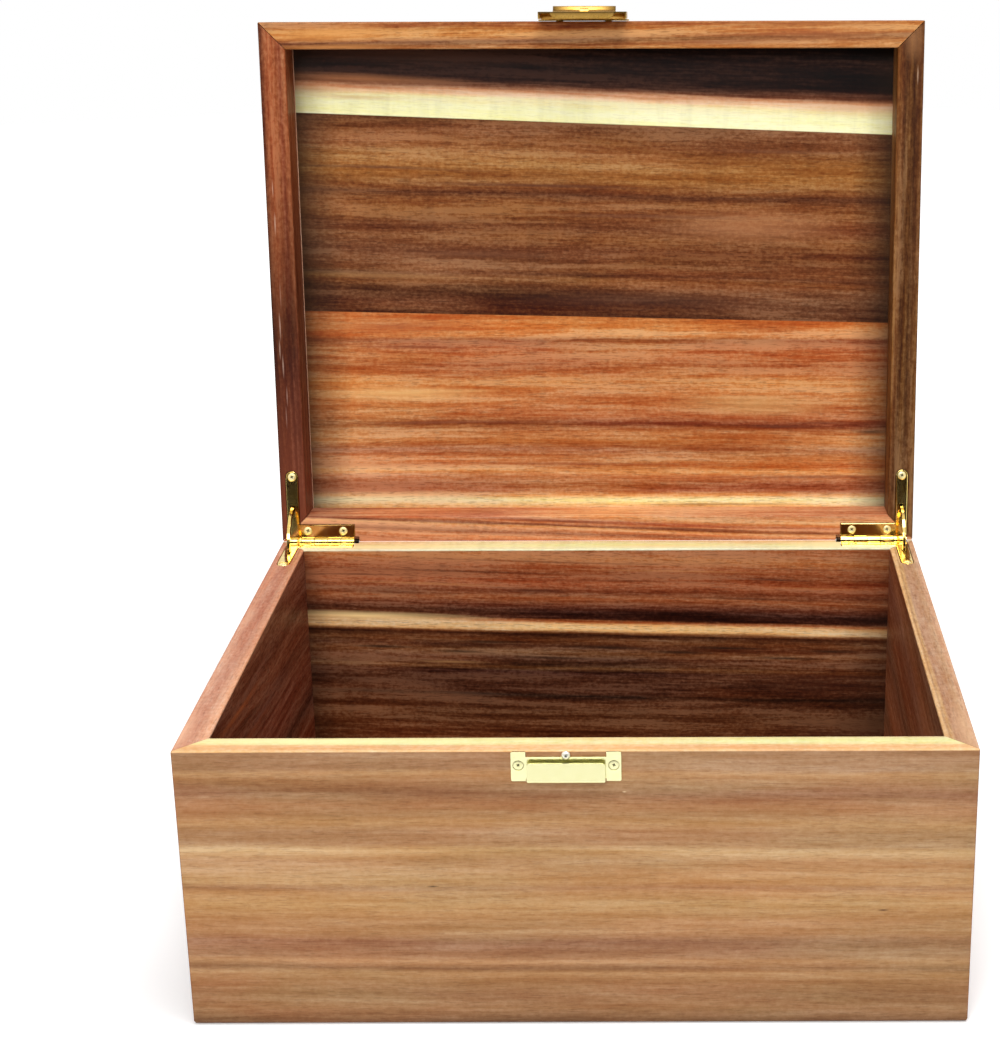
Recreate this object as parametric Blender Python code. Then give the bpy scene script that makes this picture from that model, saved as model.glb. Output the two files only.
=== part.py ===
"""Keepsake chest: a mitred acacia body and lid, two brass quadrant hinges and a brass latch.

Metres, +Z up. The origin is under the middle of the body, X runs to the right and Y to the back.
The lid stands open, a little past upright. Its pieces are modelled closed and hang on an empty
that lies on the hinge line and is turned back by the opening angle.
"""

import math

import bmesh
import bpy

# Overall sizes
WIDTH = 0.300
DEPTH = 0.240
BODY_HEIGHT = 0.116
LID_HEIGHT = 0.031
WALL = 0.012
OPEN_ANGLE = math.radians(95)

# Clearances
RIM_GAP = 0.0004
SEAT_GAP = 0.0003
FIT_GAP = 0.0002
PIN_GAP = 0.0001
MITRE_GAP = 0.0002
OVERRUN = 0.001

# Boards
FLOOR_THICKNESS = 0.008
FLOOR_REBATE = 0.004
LID_PANEL_THICKNESS = 0.012
LID_REBATE = 0.005
BASE_EASE = 0.0015
RIM_EASE = 0.0007
LID_TOP_EASE = 0.0025

# Quadrant hinges
LEAF_THICKNESS = 0.0012
LONG_LEG = 0.034
LONG_LEG_WIDTH = 0.0057
LEG_INSET = 0.0057
SHORT_LEG_DEPTH = 0.008
BARREL_LENGTH = 0.0315
BARREL_RADIUS = 0.0020
KNUCKLE_COUNT = 5
KNUCKLE_GAP = 0.0002
HINGE_PIN_RADIUS = 0.0009
BARREL_NOTCH = 0.0022
LONG_SCREW_SETBACK = 0.0028
SHORT_SCREW_DEPTH_SHARE = 0.625
INNER_SCREW_SETBACK = 0.00535
CORNER_SCREW_SETBACK = 0.00365

# Hinge stays
STAY_RADIUS = 0.0155
STAY_WIDTH = 0.0026
STAY_THICKNESS = 0.0013
STAY_HEAD_WIDTH = 0.0032
STAY_HEAD_THICKNESS = 0.0016
SLOT_SPARE = 0.0007

# Countersunk screws and the round-headed one
SCREW_HEAD_RADIUS = 0.0019
SCREW_HEAD_DEPTH = 0.0010
SCREW_HEAD_EDGE = 0.00015
SCREW_SHANK_RADIUS = 0.0009
SCREW_LENGTH = 0.0090
SCREW_SUNK = 0.0001
ROUND_HEAD_RADIUS = 0.0017
ROUND_HEAD_HEIGHT = 0.0011
ROUND_SHANK_RADIUS = 0.0008
CROSS_SPAN = 0.0020
CROSS_WIDTH = 0.0005
CROSS_DEPTH = 0.0006
POINT_LENGTH = 0.0015

# Latch: heights are measured from the rim, standoffs from the wooden front
LATCH_OFFSET = -0.0035
SHEET = 0.0007
KEEPER_MARGIN = 0.00085
KEEPER_WING_WIDTH = 0.0055
KEEPER_WING_TOP = 0.0003
KEEPER_WING_LIFT = 0.0004
KEEPER_BACK_TOP = 0.0024
KEEPER_BOTTOM = 0.0126
KEEPER_LIP_TOP = 0.0041
KEEPER_FOLD_RADIUS = 0.0015
KEEPER_SLIT = 0.0004
KEEPER_SCREW_DROP = 0.0058
ROUND_SCREW_DROP = 0.0017
BASE_MARGIN = 0.00065
BASE_BOTTOM = 0.0003
BASE_TOP = 0.0122
BASE_SCREW_HALF_SPACING = 0.0110
FLAP_HALF_WIDTH = 0.01965
FLAP_FLOOR_GAP = 0.0002
FLAP_PIVOT_HEIGHT = 0.0065
LATCH_PIN_RADIUS = 0.0006
EAR_TOP_RADIUS = 0.00105
EAR_GAP = 0.00025
THUMB_MARGIN = 0.00035
THUMB_HEIGHT = 0.0123
THUMB_RISE = 0.0027
RIB_HALF_WIDTH = 0.0019
RIB_RISE = 0.0006
RIB_FOOT_SHARES = (0.20, 0.94)
RIB_TOP_SHARES = (0.42, 0.86)
HOOK_GAP = 0.0004
HOOK_BEND = 0.0006
HOOK_TIP_INSET = 0.00165
HOOK_TIP_STANDOFF = 0.0012

# Sizes of the latch that follow from its neighbours
BASE_HALF_WIDTH = FLAP_HALF_WIDTH + BASE_MARGIN
KEEPER_HALF_WIDTH = FLAP_HALF_WIDTH + KEEPER_MARGIN
KEEPER_LIP_HALF_WIDTH = KEEPER_HALF_WIDTH - KEEPER_WING_WIDTH - KEEPER_SLIT
KEEPER_LIP_FACE = FIT_GAP + 2 * KEEPER_FOLD_RADIUS
THUMB_HALF_WIDTH = KEEPER_LIP_HALF_WIDTH - THUMB_MARGIN
FLAP_UNDERSIDE = KEEPER_LIP_FACE + SEAT_GAP
FLAP_FLOOR = FIT_GAP + SHEET + FLAP_FLOOR_GAP
FLAP_PIVOT_STANDOFF = FLAP_UNDERSIDE - EAR_TOP_RADIUS - EAR_GAP

# Flat stretches that stand for a quarter turn, a screw and a barrel
ARC_STEPS = 6
SCREW_SIDES = 12
BARREL_SIDES = 16

HINGE_HEIGHT = BODY_HEIGHT + RIM_GAP / 2
SIDES = {"left": -1, "right": 1}

ACACIA_LIGHT = ((0.39, 0.21, 0.115), 0.0, 0.45)
ACACIA_MID = ((0.27, 0.11, 0.05), 0.0, 0.45)
ACACIA_DARK = ((0.13, 0.045, 0.022), 0.0, 0.45)
BRASS = ((0.90, 0.68, 0.28), 1.0, 0.15)
NICKEL = ((0.78, 0.76, 0.71), 1.0, 0.2)


def clear_scene():
    for thing in list(bpy.data.objects):
        bpy.data.objects.remove(thing, do_unlink=True)


def add_empty(name, location, parent=None, tilt=0.0):
    empty = bpy.data.objects.new(name, None)
    bpy.context.scene.collection.objects.link(empty)
    empty.location = location
    empty.rotation_euler = (tilt, 0, 0)
    empty.parent = parent
    return empty


def add_part(name, mesh, finish=None, parent=None):
    part = bpy.data.objects.new(name, mesh)
    bpy.context.scene.collection.objects.link(part)
    part.parent = parent
    if finish and not mesh.materials:
        colour, metallic, roughness = finish
        material = bpy.data.materials.new(name + "_finish")
        material.use_nodes = True
        shader = material.node_tree.nodes["Principled BSDF"]
        shader.inputs["Base Color"].default_value = (*colour, 1)
        shader.inputs["Metallic"].default_value = metallic
        shader.inputs["Roughness"].default_value = roughness
        mesh.materials.append(material)
    return part


def add_helper(name, mesh, parent=None):
    """A cutter, or a shape that is joined on: it is no piece of its own."""
    helper = add_part(name, mesh, parent=parent)
    helper.hide_render = True
    helper.display_type = "WIRE"
    return helper


def combine(part, helper, operation):
    modifier = part.modifiers.new(helper.name, "BOOLEAN")
    modifier.object = helper
    modifier.operation = operation


def cut(part, *helpers):
    for helper in helpers:
        combine(part, helper, "DIFFERENCE")


def join(part, *helpers):
    for helper in helpers:
        combine(part, helper, "UNION")


def finished(shape, name):
    """Turns a bmesh into a mesh with outward faces and smooth round stretches."""
    bmesh.ops.recalc_face_normals(shape, faces=shape.faces)
    mesh = bpy.data.meshes.new(name)
    shape.to_mesh(mesh)
    shape.free()
    mesh.shade_smooth()
    mesh.set_sharp_from_angle(angle=math.radians(35))
    return mesh


def prism(name, outline, start, end, place):
    """Closed solid over a flat outline. place(a, b, depth) gives the point in space."""
    shape = bmesh.new()
    first = [shape.verts.new(place(a, b, start)) for a, b in outline]
    last = [shape.verts.new(place(a, b, end)) for a, b in outline]
    shape.faces.new(first)
    shape.faces.new(last)
    for here in range(len(outline)):
        ahead = (here + 1) % len(outline)
        shape.faces.new((first[here], first[ahead], last[ahead], last[here]))
    return finished(shape, name)


def turned(name, profile, sides):
    """Solid of revolution about Z. The profile runs from the axis back to the axis, as (radius, height)."""
    shape = bmesh.new()
    rings = []
    for radius, height in profile:
        around = range(sides if radius else 1)
        turns = [2 * math.pi * step / sides for step in around]
        rings.append([shape.verts.new((radius * math.cos(t), radius * math.sin(t), height)) for t in turns])
    for upper, lower in zip(rings, rings[1:]):
        for step in range(sides):
            ahead = step + 1
            corners = (
                upper[step % len(upper)],
                upper[ahead % len(upper)],
                lower[ahead % len(lower)],
                lower[step % len(lower)],
            )
            shape.faces.new(list(dict.fromkeys(corners)))
    return finished(shape, name)


def rod(name, radius, start, end, sides, height=0.0, standoff=0.0):
    """Cylinder along X, round a line at the given height and standoff, with a flat at the front."""
    turns = [math.pi * (2 * step + 1) / sides for step in range(sides)]
    outline = [(radius * math.cos(t), radius * math.sin(t)) for t in turns]
    return prism(name, outline, start, end, lambda a, b, x: (x, a - standoff, b + height))


def arc(centre, radius, start, end, steps=ARC_STEPS):
    """Points on a circle, from one angle to another, both ends included."""
    turns = [start + (end - start) * step / steps for step in range(steps + 1)]
    return [(centre[0] + radius * math.cos(t), centre[1] + radius * math.sin(t)) for t in turns]


def eased(corners, steps=2):
    """Outline through right-angled corners (a, b, radius), each rounded off by its radius."""
    outline = []
    for index, (a, b, radius) in enumerate(corners):
        if not radius:
            outline.append((a, b))
            continue
        before = corners[index - 1]
        after = corners[(index + 1) % len(corners)]
        to_before = unit(before[0] - a, before[1] - b)
        to_after = unit(after[0] - a, after[1] - b)
        for step in range(steps + 1):
            turn = math.pi / 2 * step / steps
            near = radius * (1 - math.sin(turn))
            far = radius * (1 - math.cos(turn))
            outline.append((
                a + near * to_before[0] + far * to_after[0],
                b + near * to_before[1] + far * to_after[1],
            ))
    return outline


def unit(a, b):
    length = math.hypot(a, b)
    return a / length, b / length


def folded_sheet(name, strips, thickness, parent, finish=None):
    """Sheet metal. A strip is a run of point pairs across the sheet, in (across, height, standoff)."""
    shape = bmesh.new()
    for strip in strips:
        edges = [[shape.verts.new((u, -w, v)) for u, v, w in pair] for pair in strip]
        for near, far in zip(edges, edges[1:]):
            shape.faces.new((near[0], near[1], far[1], far[0]))
    bmesh.ops.remove_doubles(shape, verts=shape.verts, dist=thickness / 100)
    part = add_part(name, finished(shape, name), finish, parent)
    solidify = part.modifiers.new("sheet thickness", "SOLIDIFY")
    solidify.thickness = thickness
    solidify.offset = 0
    solidify.use_even_offset = True
    return part


def board(name, length, profile, finish, location, turn, parent=None):
    """Board with a cross-section in (inset from its outer face, height) and both ends mitred."""
    set_back = MITRE_GAP / math.sqrt(2)

    def place(inset, height, end):
        return end * (length / 2 - inset - set_back), inset, height

    part = add_part(name, prism(name, profile, -1, 1, place), finish, parent)
    part.location = location
    part.rotation_euler = (0, 0, turn)
    return part


def frame_of_boards(names, profile, finishes, corner_y, base_z, parent=None):
    """Four mitred boards round the plan: front, right, back, left. corner_y is the y of the front face."""
    middle = corner_y + DEPTH / 2
    places = (
        (WIDTH, (0, corner_y, base_z), 0),
        (DEPTH, (WIDTH / 2, middle, base_z), math.pi / 2),
        (WIDTH, (0, corner_y + DEPTH, base_z), math.pi),
        (DEPTH, (-WIDTH / 2, middle, base_z), -math.pi / 2),
    )
    return [
        board(name, length, profile, finish, location, turn, parent)
        for name, finish, (length, location, turn) in zip(names, finishes, places)
    ]


def flat_panel(name, edge_inset, thickness, finish, location, parent=None):
    half_width = WIDTH / 2 - edge_inset
    half_depth = DEPTH / 2 - edge_inset
    outline = [
        (-half_width, -half_depth),
        (half_width, -half_depth),
        (half_width, half_depth),
        (-half_width, half_depth),
    ]
    part = add_part(name, prism(name, outline, 0, thickness, lambda x, y, z: (x, y, z)), finish, parent)
    part.location = location
    return part


def build_body():
    profile = eased([
        (0, 0, BASE_EASE),
        (0, BODY_HEIGHT, RIM_EASE),
        (WALL, BODY_HEIGHT, RIM_EASE),
        (WALL, FLOOR_THICKNESS + SEAT_GAP, 0),
        (WALL - FLOOR_REBATE, FLOOR_THICKNESS + SEAT_GAP, 0),
        (WALL - FLOOR_REBATE, 0, 0),
    ])
    names = ("front_panel", "right_side_panel", "back_panel", "left_side_panel")
    finishes = (ACACIA_LIGHT, ACACIA_MID, ACACIA_DARK, ACACIA_MID)
    boards = frame_of_boards(names, profile, finishes, -DEPTH / 2, 0)
    edge_inset = WALL - FLOOR_REBATE + SEAT_GAP
    flat_panel("floor_panel", edge_inset, FLOOR_THICKNESS, ACACIA_DARK, (0, 0, 0))
    return dict(zip(("front", "right", "back", "left"), boards))


def build_lid(lid_axis):
    recess = LID_HEIGHT - LID_PANEL_THICKNESS
    profile = eased([
        (0, 0, RIM_EASE),
        (0, LID_HEIGHT, LID_TOP_EASE),
        (WALL - LID_REBATE, LID_HEIGHT, 0),
        (WALL - LID_REBATE, recess - SEAT_GAP, 0),
        (WALL, recess - SEAT_GAP, 0),
        (WALL, 0, RIM_EASE),
    ])
    names = ("lid_front_rail", "lid_right_rail", "lid_back_rail", "lid_left_rail")
    finishes = (ACACIA_MID, ACACIA_DARK, ACACIA_MID, ACACIA_DARK)
    boards = frame_of_boards(names, profile, finishes, -DEPTH, RIM_GAP / 2, lid_axis)
    edge_inset = WALL - LID_REBATE + SEAT_GAP
    location = (0, -DEPTH / 2, RIM_GAP / 2 + recess)
    flat_panel("lid_top_panel", edge_inset, LID_PANEL_THICKNESS, ACACIA_MID, location, lid_axis)
    return dict(zip(("front", "right", "back", "left"), boards))


def across(side, inset):
    """x of a point that lies this far in from the outer face of a side."""
    return SIDES[side] * (WIDTH / 2 - inset)


def on_leaf(side, facing):
    """Places (inset, distance in front of the hinge line, depth into the wood) of one leaf."""
    return lambda inset, front, depth: (across(side, inset), -front, facing * (RIM_GAP / 2 + depth))


def barrel_start():
    return LEG_INSET - LONG_LEG_WIDTH / 2


def leaf_outline(own_knuckles):
    """Plan of a leaf: the long leg with its round end, the short leg, and a tab to each of its knuckles."""
    start = barrel_start()
    pitch = BARREL_LENGTH / KNUCKLE_COUNT
    clear = BARREL_RADIUS + SEAT_GAP
    root = (BARREL_RADIUS + HINGE_PIN_RADIUS) / 2
    outline = [(start, clear)]
    for knuckle in own_knuckles:
        left = start + knuckle * pitch + KNUCKLE_GAP
        right = start + (knuckle + 1) * pitch - KNUCKLE_GAP
        outline += [(left, clear), (left, root), (right, root), (right, clear)]
    outline += [
        (start + BARREL_LENGTH, clear),
        (start + BARREL_LENGTH, SHORT_LEG_DEPTH),
        (LEG_INSET + LONG_LEG_WIDTH / 2, SHORT_LEG_DEPTH),
    ]
    radius = LONG_LEG_WIDTH / 2
    return outline + arc((LEG_INSET, LONG_LEG - radius), radius, 0, math.pi)


def pocket_outline():
    """Plan of the seat that is cut for a leaf: its outline with a clearance, open at the back."""
    start = barrel_start() - SEAT_GAP
    end = barrel_start() + BARREL_LENGTH + SEAT_GAP
    radius = LONG_LEG_WIDTH / 2 + SEAT_GAP
    outline = [
        (start, -OVERRUN),
        (end, -OVERRUN),
        (end, SHORT_LEG_DEPTH + SEAT_GAP),
        (LEG_INSET + radius, SHORT_LEG_DEPTH + SEAT_GAP),
    ]
    return outline + arc((LEG_INSET, LONG_LEG + SEAT_GAP - radius), radius, 0, math.pi)


def box_outline(low_a, high_a, low_b, high_b):
    return [(low_a, low_b), (high_a, low_b), (high_a, high_b), (low_a, high_b)]


def stay_head_start():
    """Angle past the leaf at which the stay's cross head begins, just under the leaf."""
    inner = STAY_RADIUS - STAY_WIDTH / 2
    return math.asin((RIM_GAP / 2 + LEAF_THICKNESS + FIT_GAP) / inner)


def stay_tail():
    return stay_head_start() + STAY_HEAD_THICKNESS / STAY_RADIUS


def stay_pocket_outline():
    """Space in front of the hinge line that the stay sweeps inside a wall, as (distance, depth)."""
    lowest = OPEN_ANGLE / 2 + stay_tail()
    near = (STAY_RADIUS - STAY_WIDTH / 2) * math.cos(lowest) - SEAT_GAP
    far = STAY_RADIUS + STAY_WIDTH / 2 + SLOT_SPARE
    deep = (STAY_RADIUS + STAY_WIDTH / 2) * math.sin(lowest) + SEAT_GAP
    return box_outline(near, far, -OVERRUN, deep)


def screw_spots():
    """(inset, distance in front of the hinge line) of the three screws of a leaf."""
    short_leg_middle = SHORT_SCREW_DEPTH_SHARE * SHORT_LEG_DEPTH
    return [
        (LEG_INSET, LONG_LEG - LONG_SCREW_SETBACK),
        (LEG_INSET + LONG_LEG_WIDTH / 2 + CORNER_SCREW_SETBACK, short_leg_middle),
        (barrel_start() + BARREL_LENGTH - INNER_SCREW_SETBACK, short_leg_middle),
    ]


def cross_recess():
    """Outline of the cross-shaped driver recess."""
    long, short = CROSS_SPAN / 2, CROSS_WIDTH / 2
    quarter = [(short, short), (short, long), (-short, long)]
    outline = []
    for _ in range(4):
        outline += quarter
        quarter = [(-b, a) for a, b in quarter]
    return outline


def screw_mesh(name, profile, finish):
    """A turned screw with its driver recess cut in, as one mesh that copies can share."""
    body = add_part(name, turned(name, profile, SCREW_SIDES), finish)
    top = profile[0][1]
    recess = prism(name + "_recess", cross_recess(), top - CROSS_DEPTH, top + OVERRUN, lambda x, y, z: (x, y, z))
    cutter = add_helper(name + "_recess", recess)
    cut(body, cutter)
    graph = bpy.context.evaluated_depsgraph_get()
    mesh = bpy.data.meshes.new_from_object(body.evaluated_get(graph))
    mesh.name = name
    for spent in (body, cutter):
        bpy.data.objects.remove(spent, do_unlink=True)
    return mesh


def countersunk_profile():
    return [
        (0, 0),
        (SCREW_HEAD_RADIUS, 0),
        (SCREW_HEAD_RADIUS, -SCREW_HEAD_EDGE),
        (SCREW_SHANK_RADIUS, -SCREW_HEAD_DEPTH),
        (SCREW_SHANK_RADIUS, POINT_LENGTH - SCREW_LENGTH),
        (0, -SCREW_LENGTH),
    ]


def countersunk_hole():
    """Hole for the countersunk screw: its profile with a clearance all round, open at the top."""
    return [
        (0, OVERRUN),
        (SCREW_HEAD_RADIUS + FIT_GAP, OVERRUN),
        (SCREW_HEAD_RADIUS + FIT_GAP, -SCREW_HEAD_EDGE - FIT_GAP),
        (SCREW_SHANK_RADIUS + FIT_GAP, -SCREW_HEAD_DEPTH - FIT_GAP),
        (SCREW_SHANK_RADIUS + FIT_GAP, -SCREW_LENGTH - FIT_GAP),
        (0, -SCREW_LENGTH - FIT_GAP),
    ]


def round_head_profile():
    """Domed head on a plain shank; heights are measured from the underside of the head."""
    dome = arc((0, 0), 1, math.pi / 2, 0, ARC_STEPS // 2)
    return [(0, ROUND_HEAD_HEIGHT)] + [(ROUND_HEAD_RADIUS * a, ROUND_HEAD_HEIGHT * b) for a, b in dome[1:]] + [
        (ROUND_SHANK_RADIUS, 0),
        (ROUND_SHANK_RADIUS, POINT_LENGTH - SCREW_LENGTH),
        (0, -SCREW_LENGTH),
    ]


def build_screw_meshes():
    countersunk = screw_mesh("countersunk_screw", countersunk_profile(), BRASS)
    return countersunk, screw_mesh("round_screw", round_head_profile(), NICKEL)


def place_at(part, location, tilt):
    part.location = location
    part.rotation_euler = (tilt, 0, 0)
    return part


def build_leaf(side, level, parent, boards, screw):
    """One leaf with its screws, and its seat in the two boards that meet at this corner."""
    name = f"{side}_hinge_{level}_leaf"
    facing = -1 if level == "body" else 1
    place = on_leaf(side, facing)
    first_knuckle = 0 if level == "body" else 1
    own_knuckles = range(first_knuckle, KNUCKLE_COUNT, 2)
    start = barrel_start()
    pitch = BARREL_LENGTH / KNUCKLE_COUNT
    leaf = add_part(name, prism(name, leaf_outline(own_knuckles), 0, LEAF_THICKNESS, place), BRASS, parent)
    for knuckle in own_knuckles:
        left = across(side, start + knuckle * pitch + KNUCKLE_GAP / 2)
        right = across(side, start + (knuckle + 1) * pitch - KNUCKLE_GAP / 2)
        label = f"{name}_knuckle_{knuckle}"
        join(leaf, add_helper(label, rod(label, BARREL_RADIUS, left, right, BARREL_SIDES), parent))
    bore_radius = HINGE_PIN_RADIUS + PIN_GAP
    bore_ends = across(side, start - OVERRUN), across(side, start + BARREL_LENGTH + OVERRUN)
    bore = add_helper(name + "_bore", rod(name + "_bore", bore_radius, *bore_ends, BARREL_SIDES), parent)
    half_slot = STAY_THICKNESS / 2 + FIT_GAP
    slot_near = STAY_RADIUS - STAY_WIDTH / 2 - SLOT_SPARE
    slot_far = STAY_RADIUS + STAY_WIDTH / 2 + SLOT_SPARE
    slot_outline = box_outline(LEG_INSET - half_slot, LEG_INSET + half_slot, slot_near, slot_far)
    slot_mesh = prism(name + "_slot", slot_outline, -OVERRUN, LEAF_THICKNESS + OVERRUN, place)
    cut(leaf, bore, add_helper(name + "_slot", slot_mesh, parent))

    seat_mesh = prism(name + "_seat", pocket_outline(), -OVERRUN, LEAF_THICKNESS + SEAT_GAP, place)
    seat = add_helper(name + "_seat", seat_mesh, parent)
    groove_ends = across(side, start - SEAT_GAP), across(side, start + BARREL_LENGTH + BARREL_NOTCH)
    groove_mesh = rod(name + "_groove", BARREL_RADIUS + SEAT_GAP, *groove_ends, BARREL_SIDES)
    groove = add_helper(name + "_groove", groove_mesh, parent)
    half_pocket = STAY_HEAD_WIDTH / 2 + SEAT_GAP
    pocket_mesh = prism(
        name + "_stay_pocket",
        stay_pocket_outline(),
        LEG_INSET - half_pocket,
        LEG_INSET + half_pocket,
        lambda front, depth, inset: place(inset, front, depth),
    )
    pocket = add_helper(name + "_stay_pocket", pocket_mesh, parent)
    for wood in (boards[side], boards["back"]):
        cut(wood, seat, groove, pocket)

    tilt = 0 if level == "body" else math.pi
    for number, (inset, front) in enumerate(screw_spots(), start=1):
        location = place(inset, front, SCREW_SUNK)
        label = f"{name}_screw_{number}"
        place_at(add_part(label, screw, parent=parent), location, tilt)
        hole_mesh = turned(label + "_hole", countersunk_hole(), SCREW_SIDES)
        hole = place_at(add_helper(label + "_hole", hole_mesh, parent), location, tilt)
        cut(leaf, hole)
        cut(boards[side] if number == 1 else boards["back"], hole)


def build_hinge_pin(side, hinge_line):
    ends = across(side, barrel_start() + KNUCKLE_GAP), across(side, barrel_start() + BARREL_LENGTH - KNUCKLE_GAP)
    name = f"{side}_hinge_pin"
    add_part(name, rod(name, HINGE_PIN_RADIUS, *ends, SCREW_SIDES), BRASS, hinge_line)


def sector(inner, outer, start, end, steps):
    """Outline of a piece of a flat ring, in (distance in front of the hinge line, height)."""
    return arc((0, 0), outer, start, end, steps) + arc((0, 0), inner, end, start, steps)


def build_stay(side, hinge_line):
    """Curved arm about the hinge line, with a cross head at both ends that can't leave its slot."""
    name = f"{side}_hinge_stay"
    inner, outer = STAY_RADIUS - STAY_WIDTH / 2, STAY_RADIUS + STAY_WIDTH / 2
    tail, head_start = stay_tail(), stay_head_start()
    middle = across(side, LEG_INSET)

    def place(front, height, x):
        return middle + x, -front, height

    strip = sector(inner, outer, -tail, OPEN_ANGLE + tail, 4 * ARC_STEPS)
    stay = add_part(name, prism(name, strip, -STAY_THICKNESS / 2, STAY_THICKNESS / 2, place), BRASS, hinge_line)
    trim = FIT_GAP / STAY_RADIUS
    for end, (low, high) in {
        "lower": (trim - tail, -head_start),
        "upper": (OPEN_ANGLE + head_start, OPEN_ANGLE + tail - trim),
    }.items():
        outline = sector(inner + FIT_GAP, outer - FIT_GAP, low, high, 2)
        label = f"{name}_{end}_head"
        mesh = prism(label, outline, -STAY_HEAD_WIDTH / 2, STAY_HEAD_WIDTH / 2, place)
        join(stay, add_helper(label, mesh, hinge_line))


def latch_screw(name, mesh, hole_profile, across_x, height, standoff, parent, pierced):
    """A screw driven straight into the wooden front, and its hole in the pieces that it pierces."""
    location = (across_x, -standoff, height)
    place_at(add_part(name, mesh, parent=parent), location, math.pi / 2)
    hole_mesh = turned(name + "_hole", hole_profile, SCREW_SIDES)
    hole = place_at(add_helper(name + "_hole", hole_mesh, parent), location, math.pi / 2)
    for piece in pierced:
        cut(piece, hole)


def build_keeper(front_board, screw, round_screw):
    """Brass plate on the body: a wing at each side, and a lip folded outwards and up between them."""
    origin = add_empty("keeper_origin", (LATCH_OFFSET, -DEPTH / 2, BODY_HEIGHT))
    back = FIT_GAP + SHEET / 2
    wing_inner = KEEPER_HALF_WIDTH - KEEPER_WING_WIDTH
    lip_half = KEEPER_LIP_HALF_WIDTH
    fold_mid = KEEPER_FOLD_RADIUS - SHEET / 2
    fold_start = -KEEPER_BOTTOM + KEEPER_FOLD_RADIUS
    fold = arc((fold_start, back + fold_mid), fold_mid, -math.pi / 2, -3 * math.pi / 2, 2 * ARC_STEPS)
    lip_run = [(-KEEPER_BACK_TOP, back)] + fold + [(-KEEPER_LIP_TOP, back + 2 * fold_mid)]
    wing_run = [(-KEEPER_WING_TOP, back), lip_run[0], lip_run[1], (KEEPER_WING_LIFT - KEEPER_BOTTOM, back)]
    strips = [[((-lip_half, v, w), (lip_half, v, w)) for v, w in lip_run]]
    for sign in SIDES.values():
        outer, inner, lip = sign * KEEPER_HALF_WIDTH, sign * wing_inner, sign * lip_half
        strips.append([((outer, v, w), (inner, v, w)) for v, w in wing_run])
        strips.append([((inner, v, w), (lip, v, w)) for v, w in lip_run[:2]])
    keeper = folded_sheet("keeper", strips, SHEET, origin, BRASS)
    face = FIT_GAP + SHEET
    wing_middle = (KEEPER_HALF_WIDTH + wing_inner) / 2
    for side, sign in SIDES.items():
        latch_screw(
            f"keeper_{side}_screw", screw, countersunk_hole(), sign * wing_middle, -KEEPER_SCREW_DROP,
            face - SCREW_SUNK, origin, (keeper, front_board),
        )
    shank_hole = [
        (0, 0),
        (ROUND_SHANK_RADIUS + FIT_GAP, 0),
        (ROUND_SHANK_RADIUS + FIT_GAP, -SCREW_LENGTH - FIT_GAP),
        (0, -SCREW_LENGTH - FIT_GAP),
    ]
    latch_screw(
        "keeper_round_screw", round_screw, shank_hole, 0, -ROUND_SCREW_DROP,
        face + FIT_GAP, origin, (keeper, front_board),
    )


def build_latch_base(front_rail, screw, lid_axis):
    """Brass plate on the lid with two ears, the pin through them, and two screws."""
    origin = add_empty("latch_origin", (LATCH_OFFSET, -DEPTH, RIM_GAP / 2), lid_axis)
    outline = eased([
        (-BASE_HALF_WIDTH, BASE_BOTTOM, SHEET),
        (BASE_HALF_WIDTH, BASE_BOTTOM, SHEET),
        (BASE_HALF_WIDTH, BASE_TOP, SHEET),
        (-BASE_HALF_WIDTH, BASE_TOP, SHEET),
    ])
    plate = prism("latch_base", outline, FIT_GAP, FIT_GAP + SHEET, lambda u, v, w: (u, -w, v))
    base = add_part("latch_base", plate, BRASS, origin)
    pin_hole = LATCH_PIN_RADIUS + PIN_GAP
    ear_outer = FLAP_HALF_WIDTH - SHEET - FIT_GAP
    root = FIT_GAP + SHEET / 2
    top = arc((FLAP_PIVOT_HEIGHT, FLAP_PIVOT_STANDOFF), EAR_TOP_RADIUS, 0, math.pi)
    foot = [(FLAP_PIVOT_HEIGHT - EAR_TOP_RADIUS, root), (FLAP_PIVOT_HEIGHT + EAR_TOP_RADIUS, root)]
    for side, sign in SIDES.items():
        label = f"latch_ear_{side}"
        ends = sign * ear_outer, sign * (ear_outer - SHEET)
        join(base, add_helper(label, prism(label, top + foot, *ends, lambda v, w, u: (u, -w, v)), origin))
    bore_end = FLAP_HALF_WIDTH + OVERRUN
    pivot = {"height": FLAP_PIVOT_HEIGHT, "standoff": FLAP_PIVOT_STANDOFF}
    bore = add_helper("latch_bore", rod("latch_bore", pin_hole, -bore_end, bore_end, SCREW_SIDES, **pivot), origin)
    cut(base, bore)
    pin_end = FLAP_HALF_WIDTH - FIT_GAP
    add_part("latch_pin", rod("latch_pin", LATCH_PIN_RADIUS, -pin_end, pin_end, SCREW_SIDES, **pivot), BRASS, origin)
    for side, sign in SIDES.items():
        latch_screw(
            f"latch_{side}_screw", screw, countersunk_hole(), sign * BASE_SCREW_HALF_SPACING, FLAP_PIVOT_HEIGHT,
            FIT_GAP + SHEET - SCREW_SUNK, origin, (base, front_rail),
        )
    return origin


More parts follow.
